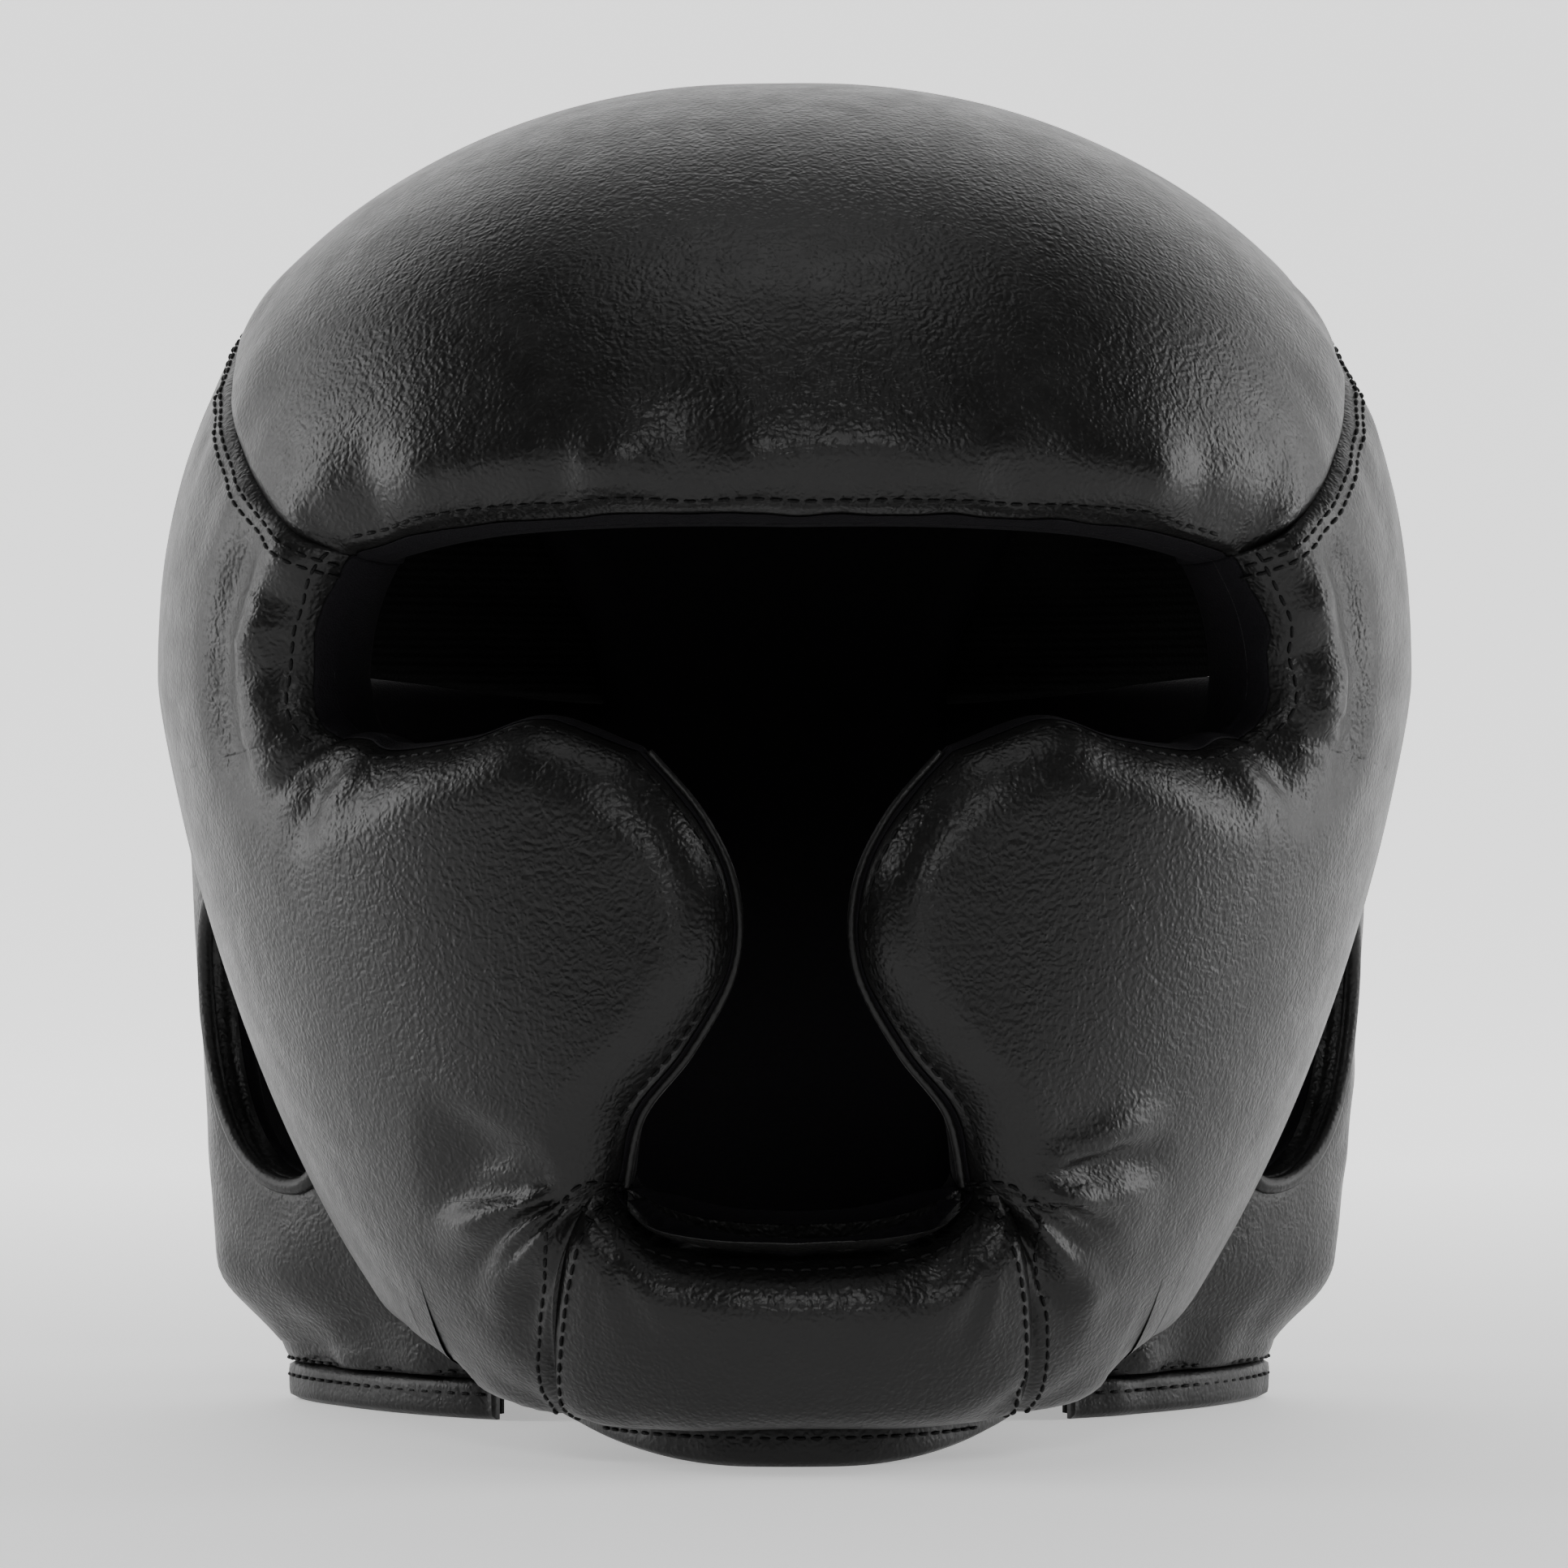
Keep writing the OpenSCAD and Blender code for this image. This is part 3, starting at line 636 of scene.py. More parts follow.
def simulate(points, faces, own, wanted, held):
    """How far the wanted points move when the leather swells against its stitching."""
    order = np.array([np.argmin(((own - q) ** 2).sum(1)) for q in wanted])
    mesh = bpy.data.meshes.new("settling")
    mesh.from_pydata((points * MM).tolist(), [], [[int(i) for i in face] for face in faces])
    obj = bpy.data.objects.new("settling", mesh)
    bpy.context.scene.collection.objects.link(obj)
    group = obj.vertex_groups.new(name="held")
    group.add([int(i) for i in np.unique(order[held])], 1.0, "REPLACE")
    cloth_modifier = obj.modifiers.new("cloth", "CLOTH")
    settings = cloth_modifier.settings
    settings.quality = 6
    settings.mass = 0.2
    settings.tension_stiffness = 18
    settings.compression_stiffness = 12
    settings.shear_stiffness = 8
    settings.bending_stiffness = 0.15
    settings.shrink_min = -0.03
    settings.use_pressure = True
    settings.uniform_pressure_force = 1.5
    settings.vertex_group_mass = "held"
    settings.effector_weights.gravity = 0
    cloth_modifier.collision_settings.use_collision = False
    cloth_modifier.point_cache.frame_end = FRAMES
    for step in range(1, FRAMES + 1):
        bpy.context.scene.frame_set(step)
    result = obj.evaluated_get(bpy.context.evaluated_depsgraph_get())
    at = np.array([v.co for v in result.data.vertices]) / MM
    bpy.data.objects.remove(obj)
    bpy.context.scene.frame_set(1)
    return (at - points)[order]


# ---- the shell's pads
class Pad:
    """Grids on the middle surface with the edges and folds that shape them."""

    def __init__(self, grids, edges, folds=(), side=1, shared=None):
        self.grids = grids
        self.shared = shared        # line on which two grids meet
        self.edges = edges
        self.folds = folds
        self.side = side
        self.settled = None

    def place(self, p):
        """The outer skin at points p of the middle surface."""
        outer = relief(p, self.edges, self.folds)[0]
        if self.settled is not None:
            spots, moved = self.settled
            near = [np.argmin(((spots - q) ** 2).sum(1)) for q in p]
            outer = outer + moved[near]
        return p + slope(p) * outer[..., None]

    def settle(self, shapes):
        """How far the leather of each grid moves out when it is sewn down at its borders and filled."""
        coarse, held, total = [], [], 0
        for grid, outer in shapes:
            rows, cols = coarse_steps(grid)
            p = grid[np.ix_(rows, cols)]
            h = outer[np.ix_(rows, cols)]
            n = slope(p)
            points, faces = sheet_mesh(p + n * h[..., None], p - n * 1.0)
            border = np.min([measure(p, edge.line)[0] for edge in self.edges], axis=0) < 1.0
            coarse.append((points, faces))
            held.append(np.concatenate([border.ravel(), np.ones(h.size, bool)]))
        points, faces = joined(coarse)
        moved = simulate(points, faces, points, np.concatenate([c[0] for c in coarse]), np.concatenate(held))
        result = []
        for grid, outer in shapes:
            rows, cols = coarse_steps(grid)
            p = grid[np.ix_(rows, cols)]
            count = p.shape[0] * p.shape[1]
            move = moved[total:total + count].reshape(p.shape)
            total += 2 * count
            out = (move * slope(p)).sum(-1)
            near = np.min([measure(p, edge.line)[0] for edge in self.edges], axis=0)
            away_from_edge = np.exp(-near / 16) * (1 - np.exp(-((near / 5) ** 2)))
            out = softened(np.clip(out, -SETTLE_CAP, SETTLE_CAP)) * away_from_edge
            if self.shared is not None:
                out = out * (1 - np.exp(-((measure(p, self.shared)[0] / 9) ** 2)))
            result.append(refine(out, rows, cols, grid.shape[:2]))
        return result

    def layers(self):
        """The leather and the lining, each as (points, faces)."""
        skins, linings = [], []
        reliefs = [relief(grid, self.edges, self.folds) for grid in self.grids]
        moves = [0 * parts[0] for parts in reliefs]
        moves = self.settle([(grid, parts[0]) for grid, parts in zip(self.grids, reliefs)])
        self.settled = (np.concatenate([g.reshape(-1, 3) for g in self.grids]),
                        np.concatenate([m.ravel() for m in moves]))
        for grid, (outer, inner, wrapped), move in zip(self.grids, reliefs, moves):
            n = slope(grid)
            outer = np.maximum(0.7, outer + move)
            back = np.minimum(1.2, inner * 0.4)
            skin = outer * (1 - wrapped) + np.maximum(0.1 - back, outer - 2.2) * wrapped
            lining = -(back + 0.2) * (1 - wrapped) + (outer - 0.5) * wrapped
            skins.append(sheet_mesh(grid + n * skin[..., None], grid - n * back[..., None]))
            linings.append(sheet_mesh(grid + n * lining[..., None], grid - n * (inner + 0.3)[..., None]))
        return turned(joined(skins), self.side), turned(joined(linings), self.side)

    def row(self, line, inset, toward):
        """Stitches along a border line, inset into the pad."""
        line = onto(line)
        n = slope(line)
        along = unit(np.gradient(line, axis=0))
        inward = np.cross(n, along)
        if ((toward - line.mean(0)) * inward.mean(0)).sum() < 0:
            inward = -inward
        near, far, path = (self.place(onto(line + inward * (inset + k))) for k in (-0.4, 0.4, 0.0))
        up = unit(np.cross(np.gradient(path, axis=0), far - near))
        up = up * np.sign((up * n).sum(-1, keepdims=True) + 1e-6)
        return turned(stitches(path, up), self.side)


def build_pad(name, pad, body, covers, lining, slot="leather"):
    leather_part, lining_part = pad.layers()
    skin_obj = make(name + "_pad", *leather_part, body, slot, LEATHER)
    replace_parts(skin_obj, *covers)
    lining_obj = make(name + "_inner", *lining_part, body, "lining", LINING_CLOTH)
    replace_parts(lining_obj, lining)


def add_rows(name, rows, body="shell"):
    make(name, *stacked(rows), body, "leather_trim", THREAD)


def forehead_pad():
    us = np.linspace(0, 1, 150)
    vs = clustered(100, True, False)
    grid = patch(across(BROW, us), arch(CORONAL, us), mirrored(part_of(SEAM, 1, SEAM_CROWN, vs)),
                 part_of(SEAM, 1, SEAM_CROWN, vs), us, vs)
    seam = dense(part_of, SEAM, 1, SEAM_CROWN)
    edges = [
        Edge(dense(across, BROW), "open", 10.5, ((3.6, 11, 3.6, 11), (0.8, 5, 3, 12)), wrap=1.0),
        Edge(seam, "seam", puckers=((0.5, 8, 5, 13),)),
        Edge(mirrored(seam), "seam", puckers=((0.5, 8, 5, 14),)),
        Edge(dense(arch, CORONAL), "seam", puckers=((0.4, 10, 6, 15),)),
    ]
    return Pad([grid], edges)


def crown_pad():
    us = np.linspace(0, 1, 130)
    vs = np.linspace(0, 1, 80)
    seam = part_of(SEAM, SEAM_CROWN, 0, vs)
    grid = patch(arch(CORONAL, us), across(CROWN_REAR, us), mirrored(seam), seam, us, vs)
    side = dense(part_of, SEAM, SEAM_CROWN, 0)
    free = dense(part_of, CROWN_REAR, 2 / 5, 1)
    edges = [
        Edge(dense(arch, CORONAL), "seam", puckers=((0.4, 10, 6, 21),)),
        Edge(side, "seam", puckers=((0.4, 9, 6, 22),)),
        Edge(mirrored(side), "seam", puckers=((0.4, 9, 6, 23),)),
        Edge(dense(across, BACK_TOP), "seam", puckers=((0.4, 9, 6, 24),)),
        Edge(free, "open", 8),
        Edge(mirrored(free), "open", 8),
    ]
    return Pad([grid], edges)


def back_pad():
    us = clustered(56, True, True)
    vs = clustered(96, False, True)
    side = spline(BACK_SIDE, vs)
    grid = patch(across(BACK_TOP, us), across(NAPE, us), mirrored(side), side, us, vs)
    flank_line = dense(spline, BACK_SIDE)
    edges = [
        Edge(dense(across, BACK_TOP), "seam", puckers=((0.4, 9, 6, 31),)),
        Edge(flank_line, "open", 8, ((0.3, 11, 5, 32),)),
        Edge(mirrored(flank_line), "open", 8, ((0.3, 11, 5, 33),)),
        Edge(dense(across, NAPE), "open", 8, ((0.3, 11, 5, 34),)),
    ]
    return Pad([grid], edges)


def chin_pad():
    us = np.linspace(0, 1, 90)
    vs = clustered(50, True, True)
    seam = part_of(LOBE, 1, LOBE_CHIN, vs)
    grid = patch(across(CHIN_LOW, us), across(MOUTH, us), mirrored(seam), seam, us, vs)
    side = dense(part_of, LOBE, 1, LOBE_CHIN)
    edges = [
        Edge(dense(across, MOUTH), "open", 9, ((0.6, 8, 4, 41),)),
        Edge(dense(across, CHIN_LOW), "open", 11, ((0.8, 12, 5, 42),)),
        Edge(side, "seam", puckers=((0.8, 5, 4, 43),)),
        Edge(mirrored(side), "seam", puckers=((0.8, 5, 4, 44),)),
    ]
    folds = [rays(face(x, 46), face(0, 24), 0.3, 3, 22, 1.3, 1.0, 45 + x) for x in (30, -30)]
    return Pad([grid], edges, folds)


def eye_valley(line):
    """The soft valley that bounds the crumpled band beside the eye."""
    def fold(p):
        d, _ = measure(p, line)
        window = smooth((p[..., 2] - 112) / 20) * (1 - smooth((p[..., 2] - 158) / 14))
        return -2.6 * np.exp(-(((d - 17) / 5) ** 2)) * window
    return fold


def eye_crumple(line, seed):
    """Fine wrinkles in the band beside the eye."""
    def fold(p):
        d, _ = measure(p, line)
        band = smooth(d / 4) * (1 - smooth((d - 10) / 8))
        small = lumps(p * [1.0, 1.0, 1.6], 4.2, seed)
        wide = lumps(p, 8.5, seed + 1)
        return band * (0.5 * small + 0.5 * wide)
    return fold


def side_pad(side):
    seed = 100 if side > 0 else 200
    ut = clustered(84, True, True)
    vt = np.linspace(0, 1, 60)
    temple = patch(spline(SEAM, ut), part_of(CHEEK_TOP, 0, TOP_TEMPLE, ut), spline(BACK_HIGH, 1 - vt),
                   spline(EYE_SIDE, vt), ut, vt)
    rest = clustered(76, False, True)[1:]
    us = np.concatenate([TOP_TEMPLE * ut, TOP_TEMPLE + (1 - TOP_TEMPLE) * rest])
    vs = np.concatenate([0.5 * clustered(56, True, False), 0.5 + 0.5 * clustered(56, False, True)[1:]])
    cheek = patch(spline(CHEEK_TOP, us), spline(JAW, 1 - us), spline(BACK_LOW, vs), spline(LOBE, vs), us, vs)
    eye = dense(spline, EYE_SIDE)
    edges = [
        Edge(dense(spline, SEAM), "seam", puckers=((0.6, 7, 5, seed + 1),)),
        Edge(dense(part_of, LOBE, LOBE_CHIN, 1), "seam", puckers=((0.8, 5, 4, seed + 2),)),
        Edge(eye, "open", 12, ((0.9, 6, 5, seed + 3),), wrap=1.2),
        Edge(dense(part_of, CHEEK_TOP, TOP_TEMPLE, 1), "open", 13, ((0.6, 9, 5, seed + 4),), wrap=1.0),
        Edge(dense(part_of, LOBE, 0, LOBE_CHIN), "open", 11, ((0.45, 8, 4, seed + 5),)),
        Edge(dense(spline, JAW), "open", 12, ((0.7, 11, 5, seed + 6),)),
        Edge(dense(spline, BACK_LOW), "open", 9),
        Edge(dense(spline, BACK_HIGH), "open", 9),
    ]
    folds = [
        eye_valley(eye),
        eye_crumple(eye, seed + 7),
        rays(face(68, 139), face(98, 124), 0.3, 9, 36, 2.6, 1.0, seed + 8),
        rays(face(30, 54), face(56, 40), 0.24, 4, 36, 3.3, 1.2, seed + 9),
        rays(face(30, 54), face(50, 30), 0.11, 3, 24, 1.7, 1.3, seed + 10),
    ]
    return Pad([temple, cheek], edges, folds, side, dense(part_of, CHEEK_TOP, 0, TOP_TEMPLE))


def build_shell():
    forehead = forehead_pad()
    crown = crown_pad()
    back = back_pad()
    chin = chin_pad()
    build_pad("forehead", forehead, "shell", ["forehead_cover", "forehead_foam"], "forehead_lining")
    build_pad("crown", crown, "shell", ["crown_cover", "crown_foam"], "crown_lining")
    build_pad("back", back, "shell", ["back_cover", "back_foam"], "back_lining")
    build_pad("chin", chin, "shell", ["chin_cover", "chin_foam"], "chin_lining")
    add_rows("brow_stitches", [forehead.row(dense(across, BROW)[8:-8], 2.2, face(0, 200))])
    add_rows("coronal_stitches", [
        forehead.row(dense(arch, CORONAL)[8:-8], 3.2, face(0, 190)),
        crown.row(dense(arch, CORONAL)[8:-8], 3.2, rear(0, 200))])
    add_rows("crown_back_stitches", [back.row(dense(across, BACK_TOP)[8:-8], 3.0, rear(0, 120))])
    add_rows("back_edge_stitches", [
        back.row(line, 1.4, rear(0, 100))
        for line in (dense(spline, BACK_SIDE)[4:-6], mirrored(dense(spline, BACK_SIDE)[4:-6]))])
    chin_seam = dense(part_of, LOBE, 1, LOBE_CHIN)
    add_rows("chin_stitches", [
        chin.row(chin_seam[8:-8], 2.4, face(0, 28)),
        chin.row(mirrored(chin_seam[8:-8]), 2.4, face(0, 28)),
        chin.row(dense(across, MOUTH)[8:-8], 1.6, face(0, 28))])
    for side, word in ((1, "right"), (-1, "left")):
        pad = side_pad(side)
        build_pad(word + "_side", pad, "shell",
                  [word + "_side_cover", word + "_temple_foam", word + "_cheek_foam"],
                  word + "_side_lining")
        seam = dense(spline, SEAM)[8:-8]
        add_rows(word + "_seam_stitches", [
            pad.row(seam, 2.4, face(110, 140)),
            pad.row(seam, 4.4, face(110, 140)),
            pad.row(dense(part_of, LOBE, LOBE_CHIN, 1)[8:-8], 2.4, face(70, 40))])
        add_rows(word + "_eye_stitches", [
            pad.row(dense(spline, EYE_SIDE)[8:-8], 2.4, face(100, 140)),
            pad.row(dense(part_of, CHEEK_TOP, TOP_TEMPLE, 1)[8:-8], 2.0, face(50, 100)),
            pad.row(dense(part_of, LOBE, 0, LOBE_CHIN)[8:-8], 1.5, face(60, 90))])
        lobe_piping(word, side)


def lobe_piping(word, side):
    """The thin bound edge of a nose lobe."""
    line = onto(part_of(LOBE, 0.012, LOBE_CHIN - 0.012, np.linspace(0, 1, 200)))
    n = slope(line)
    out = unit(np.cross(unit(np.gradient(line, axis=0)), n))
    cord = turned(tube(line + out * 0.35 + n * 0.9, n, 0.8, sides=12), side)
    obj = make(word + "_lobe_piping", *cord, "shell", "leather_trim", TRIM)
    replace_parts(obj, word + "_lobe_binding")


# ---- ear wings
WING_W = MID_W + 14.0
WING_OUT = REAR_PAD / 2 + 6.6 + WING_PAD / 2
WING_EDGE = np.array([[0, 4], [8, 4], [34, 7.5], [64, 18.5], [96, 27.5], [128, 32], [146, 45]])
EAR_S = (0.07, 0.19)                # share of the wing's length that the ear hole takes
EAR_T = (0.30, 0.74)                # share of its height
WING_LENGTH = 172                   # nominal run of the wing, which spaces its folds
WING_HEIGHT = 135                   # nominal height above the hem band


def wing_mid(s, z):
    z = np.asarray(z, float)
    y0 = np.interp(z, WING_EDGE[:, 0], WING_EDGE[:, 1])
    zz = np.maximum(z, 20)
    x0 = flank(y0, zz)[0]
    h = np.maximum(z, HEM_H)
    half = WING_W - 9 * np.maximum(0, 1 - h / 110) ** 1.5 - 11 * (1 - smooth((h - HEM_H - 4) / 16))
    depth = MID_BACK * back_at(np.clip(z, 30, WAIST)) + WING_OUT
    a = np.radians(3 + 74 * s)
    x1 = half * np.cos(a) ** (2 / DOME_N)
    y1 = 20 + (depth - 20) * np.sin(a) ** (2 / DOME_N)
    k = smooth(s / 0.26)
    return np.stack([x0 + (x1 - x0) * k, y0 + (y1 - y0) * k, z + 0 * s], -1)


def wing_out(s, z):
    h = 0.004
    along = wing_mid(s + h, z) - wing_mid(np.maximum(0, s - h), z)
    up = wing_mid(s, z + 0.5) - wing_mid(s, z - 0.5)
    return unit(np.cross(along, up))


WING_RISE = 12                      # the leather stands up to the strap at the back, above the wing's foam


def wing_top(s):
    return 134 - 4 * s + WING_RISE * smooth((s - 0.38) / 0.15)


def oval(s, t):
    """The ear hole's square window bent into an oval one."""
    cs, ct = sum(EAR_S) / 2, sum(EAR_T) / 2
    rs, rt = (EAR_S[1] - EAR_S[0]) / 2, (EAR_T[1] - EAR_T[0]) / 2
    a, b = (s - cs) / rs, (t - ct) / rt
    m = np.maximum(np.maximum(np.abs(a), np.abs(b)), 0.001)
    p, q = a / m, b / m
    k = smooth(2 - m)
    bent_s = cs + rs * m * (p + (p * np.sqrt(1 - q * q / 2) - p) * k)
    bent_t = ct + rt * m * (q + (q * np.sqrt(1 - p * p / 2) - q) * k)
    return np.maximum(0, bent_s), bent_t, m


def wing_grid(seed):
    """The wing's middle surface, its outward direction and its outer and inner heights."""
    ss = np.concatenate([
        EAR_S[0] * clustered(16, True, False), np.linspace(*EAR_S, 30)[1:],
        EAR_S[1] + (1 - EAR_S[1]) * clustered(110, False, True)[1:]])
    ts = np.concatenate([
        np.linspace(0, EAR_T[0], 36), np.linspace(*EAR_T, 40)[1:],
        EAR_T[1] + (1 - EAR_T[1]) * clustered(30, False, True)[1:]])
    s, t = np.meshgrid(ss, ts)
    cell_s = (s[:-1, :-1] + s[1:, 1:]) / 2
    cell_t = (t[:-1, :-1] + t[1:, 1:]) / 2
    gone = (cell_s > EAR_S[0]) & (cell_s < EAR_S[1]) & (cell_t > EAR_T[0]) & (cell_t < EAR_T[1])
    s, t, m = oval(s, t)
    z = HEM_H + (wing_top(s) - HEM_H) * t
    p = wing_mid(s, z)
    length = WING_LENGTH * s
    free = np.stack([(1 - s) * WING_LENGTH, (1 - t) * WING_HEIGHT, np.abs(m - 1) * 20 + 1.2, length + 1.6])
    d = ((free / [[[7]], [[7]], [[5]], [[5]]] + 1e-3) ** -4).sum(0) ** -0.25
    d = np.clip(d, 0, 1)
    roll = np.sqrt(np.maximum(0, d * (2 - d)))
    above = z - HEM_H
    gather = (1.9 * wobble(length, 5.2, seed) * np.exp(-above / 8)
              + 0.8 * wobble(length, 9, seed + 1) * np.exp(-above / 16))
    soft = 0.5 * lumps(p, 16, seed + 2) + 0.25 * lumps(p, 7, seed + 3)
    tuck = 1 - 0.35 * np.exp(-above / 3)
    half = WING_PAD / 2
    outer = np.maximum(0.7, (half + 0.6 + soft + gather) * roll * tuck)
    inner = np.maximum(0.7, half * roll * tuck)
    return p, wing_out(s, z), outer, inner, gone


def upright(n):
    return unit(n * [1, 1, 0])


def hem_sheet(low_z, high_z, out, back, wave, height, seed, rows=9, cols=220):
    s, z = np.meshgrid(np.linspace(0, 1, cols), np.linspace(low_z, high_z, rows))
    p = wing_mid(s, z)
    n = upright(wing_out(s, HEM_H + 0 * z))
    round_off = np.sqrt(np.maximum(0, 1 - ((z - low_z) / (high_z - low_z) * 2 - 1) ** 6))
    pleat = height * wobble(WING_LENGTH * s, wave, seed) * (0.5 + 0.5 * z / HEM_H)
    return sheet_mesh(p + n * (out * (0.4 + 0.6 * round_off) + pleat)[..., None], p + n * back)


def wing_row(z, seed, out=0.0):
    s = np.linspace(0.02, 0.98, 400)
    n = wing_out(s, z + 0 * s)
    return stitches(wing_mid(s, z + 0 * s) + n * out, n, pitch=3.4)


def build_wing(word, side):
    body = word + "_wing"
    seed = 300 if side > 0 else 400
    p, n, outer, inner, gone = wing_grid(seed)
    back = np.minimum(1.0, inner * 0.4)[..., None]
    cover = make(body + "_pad", *turned(sheet_mesh(p + n * outer[..., None], p - n * back, gone), side),
                 None, "leather", LEATHER)
    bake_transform(cover)
    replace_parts(cover, body + "_cover", body + "_foam")
    inside = sheet_mesh(p - n * (back + 0.2), p - n * (inner[..., None] + 0.3), gone)
    liner = make(body + "_inner", *turned(inside, side), None, "lining", LINING_CLOTH)
    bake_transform(liner)
    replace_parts(liner, body + "_lining")
    band = make(word + "_hem", *turned(hem_sheet(0, HEM_H - 0.2, 3.4, 0.3, 4.2, 0.55, seed + 5), side),
                body, "leather_trim", TRIM)
    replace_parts(band, word + "_hem_band")
    strip = make(word + "_hem_stretch", *turned(
        hem_sheet(1, HEM_H - 1, -0.1, -1.5, 4.2, 0.2, seed + 6, 5, 120), side), body, "elastic", ELASTIC)
    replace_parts(strip, word + "_hem_elastic")
    ear_ring(word, side, body)
    hook = make(word + "_nape_tape", *turned(nape_tape(), side), body, "hook_and_loop", TAPE)
    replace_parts(hook, word + "_nape_hook")
    add_rows(word + "_hem_stitches", [
        turned(wing_row(4.9, seed, 3.5), side), turned(wing_row(8.6, seed, 3.6), side)], body)


def ear_ring(word, side, body):
    """The raised trim round the ear hole."""
    a = np.linspace(0, 2 * math.pi, 96, endpoint=False)
    cs, ct = sum(EAR_S) / 2, sum(EAR_T) / 2
    s = cs + (EAR_S[1] - EAR_S[0]) * 0.53 * np.cos(a)
    t = ct + (EAR_T[1] - EAR_T[0]) * 0.53 * np.sin(a)
    z = HEM_H + (wing_top(s) - HEM_H) * t
    n = wing_out(s, z)
    path = wing_mid(s, z) + n * (WING_PAD / 2 + 0.2)
    ring = make(word + "_ear_ring", *turned(tube(path, n, 1.7, closed=True, sides=12), side),
                body, "leather_trim", TRIM)
    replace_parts(ring, word + "_ear_trim")


def nape_tape():
    s, z = np.meshgrid(np.linspace(0.9, 0.98, 8), np.linspace(56, 108, 24))
    p, n = wing_mid(s, z), wing_out(s, z)
    return sheet_mesh(p - n * (WING_PAD / 2 + 0.2), p - n * (WING_PAD / 2 + 1.0))


# ---- rear straps
STRAP_T = 1.8
STRAP_H = 40.0
STRAP_ROOT = 36                     # plan angle where the straps are sewn on
CLEAR = 0.6                         # clearance of a strap over the skin
TAPE_T = 0.8
OVER = CLEAR + STRAP_T + 2 * TAPE_T + 1.5


def round_pt(angle, z):
    """A point on the pads' outer skin at a plan angle and height, and the outward direction."""
    share = 1 - up_part(z)
    c, s = np.cos(np.radians(angle)), np.sin(np.radians(angle))
    k = (share / ((np.abs(c) / (MID_W * width_at(z))) ** DOME_N
                  + (np.abs(s) / (MID_BACK * back_at(z))) ** DOME_N)) ** (1 / DOME_N)
    p = np.stack([k * c, k * s, z + 0 * k], -1)
    n = slope(p)
    return p + n * (pad_at(p) / 2)[..., None], n


def strap_mid(angle):
    """Height of a strap's middle line."""
    return 158 + 6 * smooth((np.abs(angle - 90) - 10) / 44)


def strap_sheet(start, end, high, lift, low_out, thick, rows=25, cols=110):
    angle, v = np.meshgrid(np.linspace(start, end, cols), np.linspace(-0.5, 0.5, rows))
    z = strap_mid(angle) + v * high
    p, n = round_pt(angle, z)
    out = lift(angle) + low_out
    edge = np.sqrt(np.maximum(0.05, 1 - (2 * v) ** 10))
    bow = 0.35 * np.cos(v * 2 * math.pi * 5) * edge
    outer = p + n * (out + thick * (0.55 + 0.45 * edge) + 0.12 * bow)[..., None]
    inner = p + n * (out + thick * 0.45 * (1 - edge))[..., None]
    return sheet_mesh(outer, inner)


def flat_on(angle):
    return CLEAR + 0 * angle


def lifted(angle):
    return CLEAR + (OVER - CLEAR) * smooth((angle - STRAP_ROOT) / 30)


def strap_rows(start, end, high, lift, low_out):
    """Stitches round a strap's sewn end."""
    loops = []
    for v in (-0.42, 0.42):
        angle = np.linspace(start, end, 40)
        z = strap_mid(angle) + v * high
        p, n = round_pt(angle, z)
        loops.append(stitches(p + n * (lift(angle) + low_out)[..., None], n))
    for angle in (start, end):
        v = np.linspace(-0.42, 0.42, 40)
        z = strap_mid(angle) + v * high
        p, n = round_pt(angle + 0 * v, z)
        loops.append(stitches(p + n * (lift(angle + 0 * v) + low_out)[..., None], n))
    return loops


def build_straps():
    pieces = [
        ("loop_strap_webbing", strap_sheet(78, 180 - STRAP_ROOT, STRAP_H, flat_on, 0, STRAP_T),
         "shell", "webbing", WEBBING, "loop_strap"),
        ("loop_tape", strap_sheet(79, 112, STRAP_H - 3, flat_on, STRAP_T + 0.3, TAPE_T, cols=60),
         "shell", "hook_and_loop", TAPE, "loop_patch"),
        ("closure_webbing", strap_sheet(STRAP_ROOT, 116, STRAP_H, lifted, 0, STRAP_T),
         "closure", "webbing", WEBBING, "closure_strap"),
        ("hook_tape", strap_sheet(84, 114, STRAP_H - 5, lifted, -0.45 - TAPE_T, TAPE_T, cols=60),
         "closure", "hook_and_loop", TAPE, "hook_patch"),
    ]
    for name, part, body, slot, material, node in pieces:
        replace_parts(make(name, *part, body, slot, material), node)
    angle, z = np.meshgrid(np.linspace(72, 108, 50), np.linspace(50, 110, 50))
    p, n = round_pt(angle, z)
    loop = make("nape_loop_tape", *sheet_mesh(p + n * 1.1, p + n * 0.3), "shell", "hook_and_loop", TAPE)
    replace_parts(loop, "nape_loop")
    near, far = STRAP_ROOT + 2, STRAP_ROOT + 12
    add_rows("closure_stitches", strap_rows(near, far, STRAP_H, lifted, STRAP_T), "closure")
    add_rows("loop_stitches", strap_rows(180 - far, 180 - near, STRAP_H, flat_on, STRAP_T))


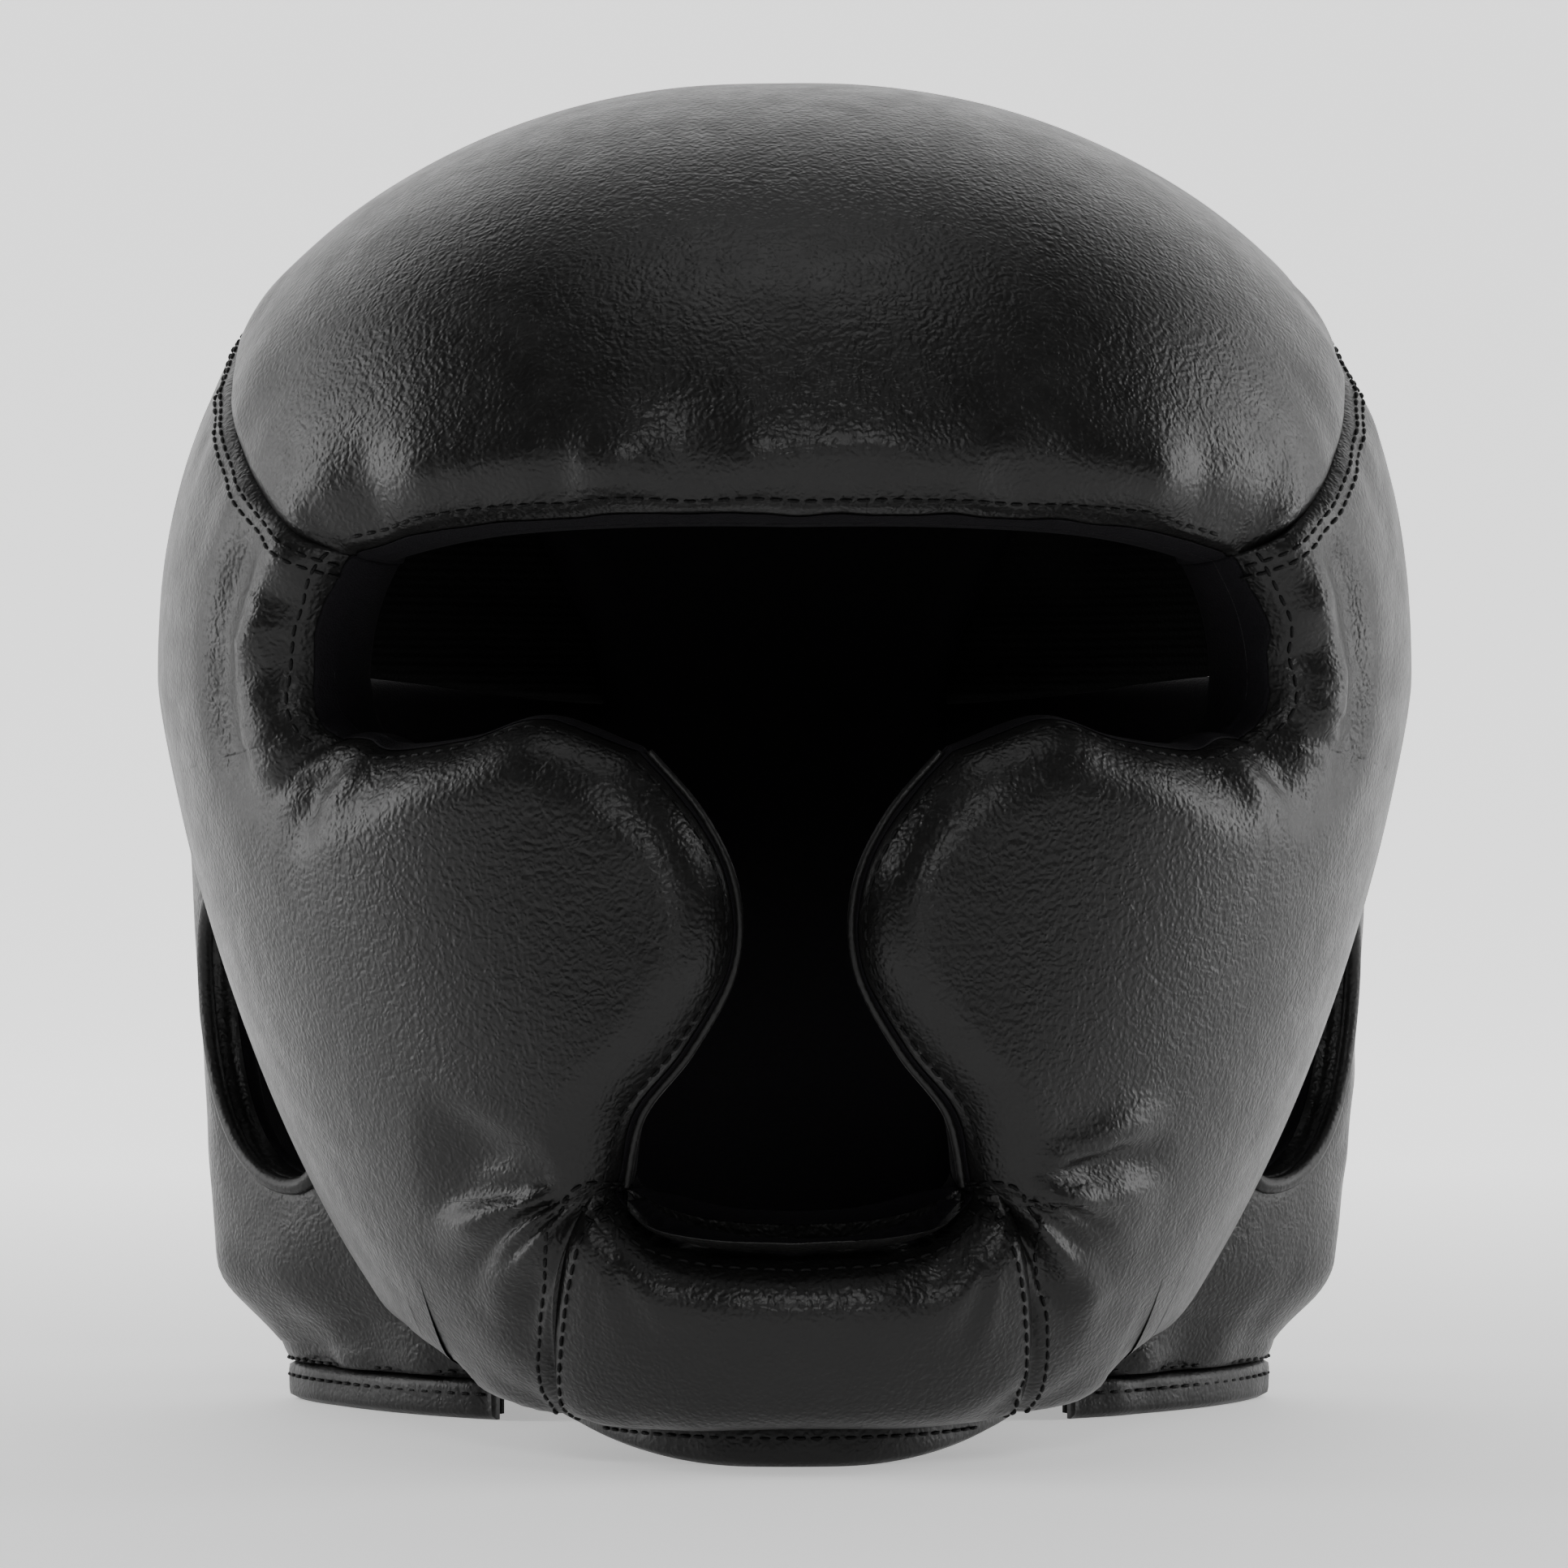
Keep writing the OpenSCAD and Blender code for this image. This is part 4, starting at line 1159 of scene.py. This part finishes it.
def build_chin_hem():
    u, v = np.meshgrid(np.linspace(-1, 1, 120), np.linspace(0, 1, 10))
    base = np.stack([face(40 * k, 12) for k in u[0]])
    n = upright(slope(base))
    low_z = 6 * np.maximum(0, (np.abs(u) - 0.2) / 0.8) ** 2
    z = low_z + (8.6 - low_z) * v
    p = base[None] * [1, 1, 0] + z[..., None] * [0, 0, 1]
    round_off = np.sqrt(np.maximum(0, 1 - (2 * v - 1) ** 4))
    pleat = 0.4 * wobble(40 * u, 6, 51)
    outer = p + n * (1.3 + 1.3 * round_off + pleat * round_off)[..., None]
    obj = make("chin_hem_band", *sheet_mesh(outer, p - n * 2.4), "shell", "leather_trim", TRIM)
    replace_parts(obj, "chin_hem")
    path = base * [1, 1, 0] + [0, 0, 5.2] + n * 2.7
    add_rows("chin_hem_stitches", [stitches(path[12:-12], n[12:-12])])


build_shell()
for word, side in (("right", 1), ("left", -1)):
    build_wing(word, side)
build_straps()
build_chin_hem()


# ---- studio
def backdrop():
    """Pale floor that curves up behind the object."""
    turn = np.radians(np.linspace(0, 90, 24))
    curve = [(1.6 + 1.2 * math.sin(a), 1.2 - 1.2 * math.cos(a)) for a in turn]
    profile = [(-4.0, 0.0)] + curve + [(2.8, 5.0)]
    points = [(x, y, z) for y, z in profile for x in (-5, 5)]
    faces = [(2 * i, 2 * i + 1, 2 * i + 3, 2 * i + 2) for i in range(len(profile) - 1)]
    # the paper glows as painted light, 0.5 near the object as painted shade, up to 1.5 behind it
    floor = make("floor", np.array(points) / MM, faces, None, None, painted_light_paper("paper", 0.9, 0.7, 0.5, 1.5))


def soft_light(name, spot, size, power, aim=(0, 0, 0.13)):
    data = bpy.data.lights.new(name, "AREA")
    data.shape = "RECTANGLE"
    data.size, data.size_y = size
    data.energy = power
    obj = bpy.data.objects.new(name, data)
    obj.location = spot
    direction = np.array(aim) - np.array(spot)
    obj.rotation_euler = (
        math.atan2(math.hypot(direction[0], direction[1]), -direction[2]), 0,
        math.atan2(direction[1], direction[0]) - math.pi / 2)
    bpy.context.scene.collection.objects.link(obj)


def camera():
    data = bpy.data.cameras.new("camera")
    data.sensor_width = 36
    data.lens = 168
    data.clip_end = 20
    obj = bpy.data.objects.new("camera", data)
    turn = math.radians(-1)
    obj.location = (1.4 * math.sin(turn), -1.4 * math.cos(turn), 0.1218)
    obj.rotation_euler = (math.radians(90), 0, turn)
    bpy.context.scene.collection.objects.link(obj)
    bpy.context.scene.camera = obj


backdrop()
soft_light("left_box", (-1.0, 0.1, 0.3), (0.4, 1.0), 8)
soft_light("right_box", (1.0, 0.1, 0.3), (0.4, 1.0), 8)
soft_light("front_box", (0.1, -1.6, 0.75), (0.5, 0.35), 6)
soft_light("top_box", (0.0, -0.3, 1.4), (0.8, 0.8), 3.5)
world = bpy.data.worlds.new("studio")
bpy.context.scene.world = world
world.use_nodes = True
world.node_tree.nodes["Background"].inputs["Color"].default_value = (1, 1, 1, 1)
world.node_tree.nodes["Background"].inputs["Strength"].default_value = 0.02
camera()
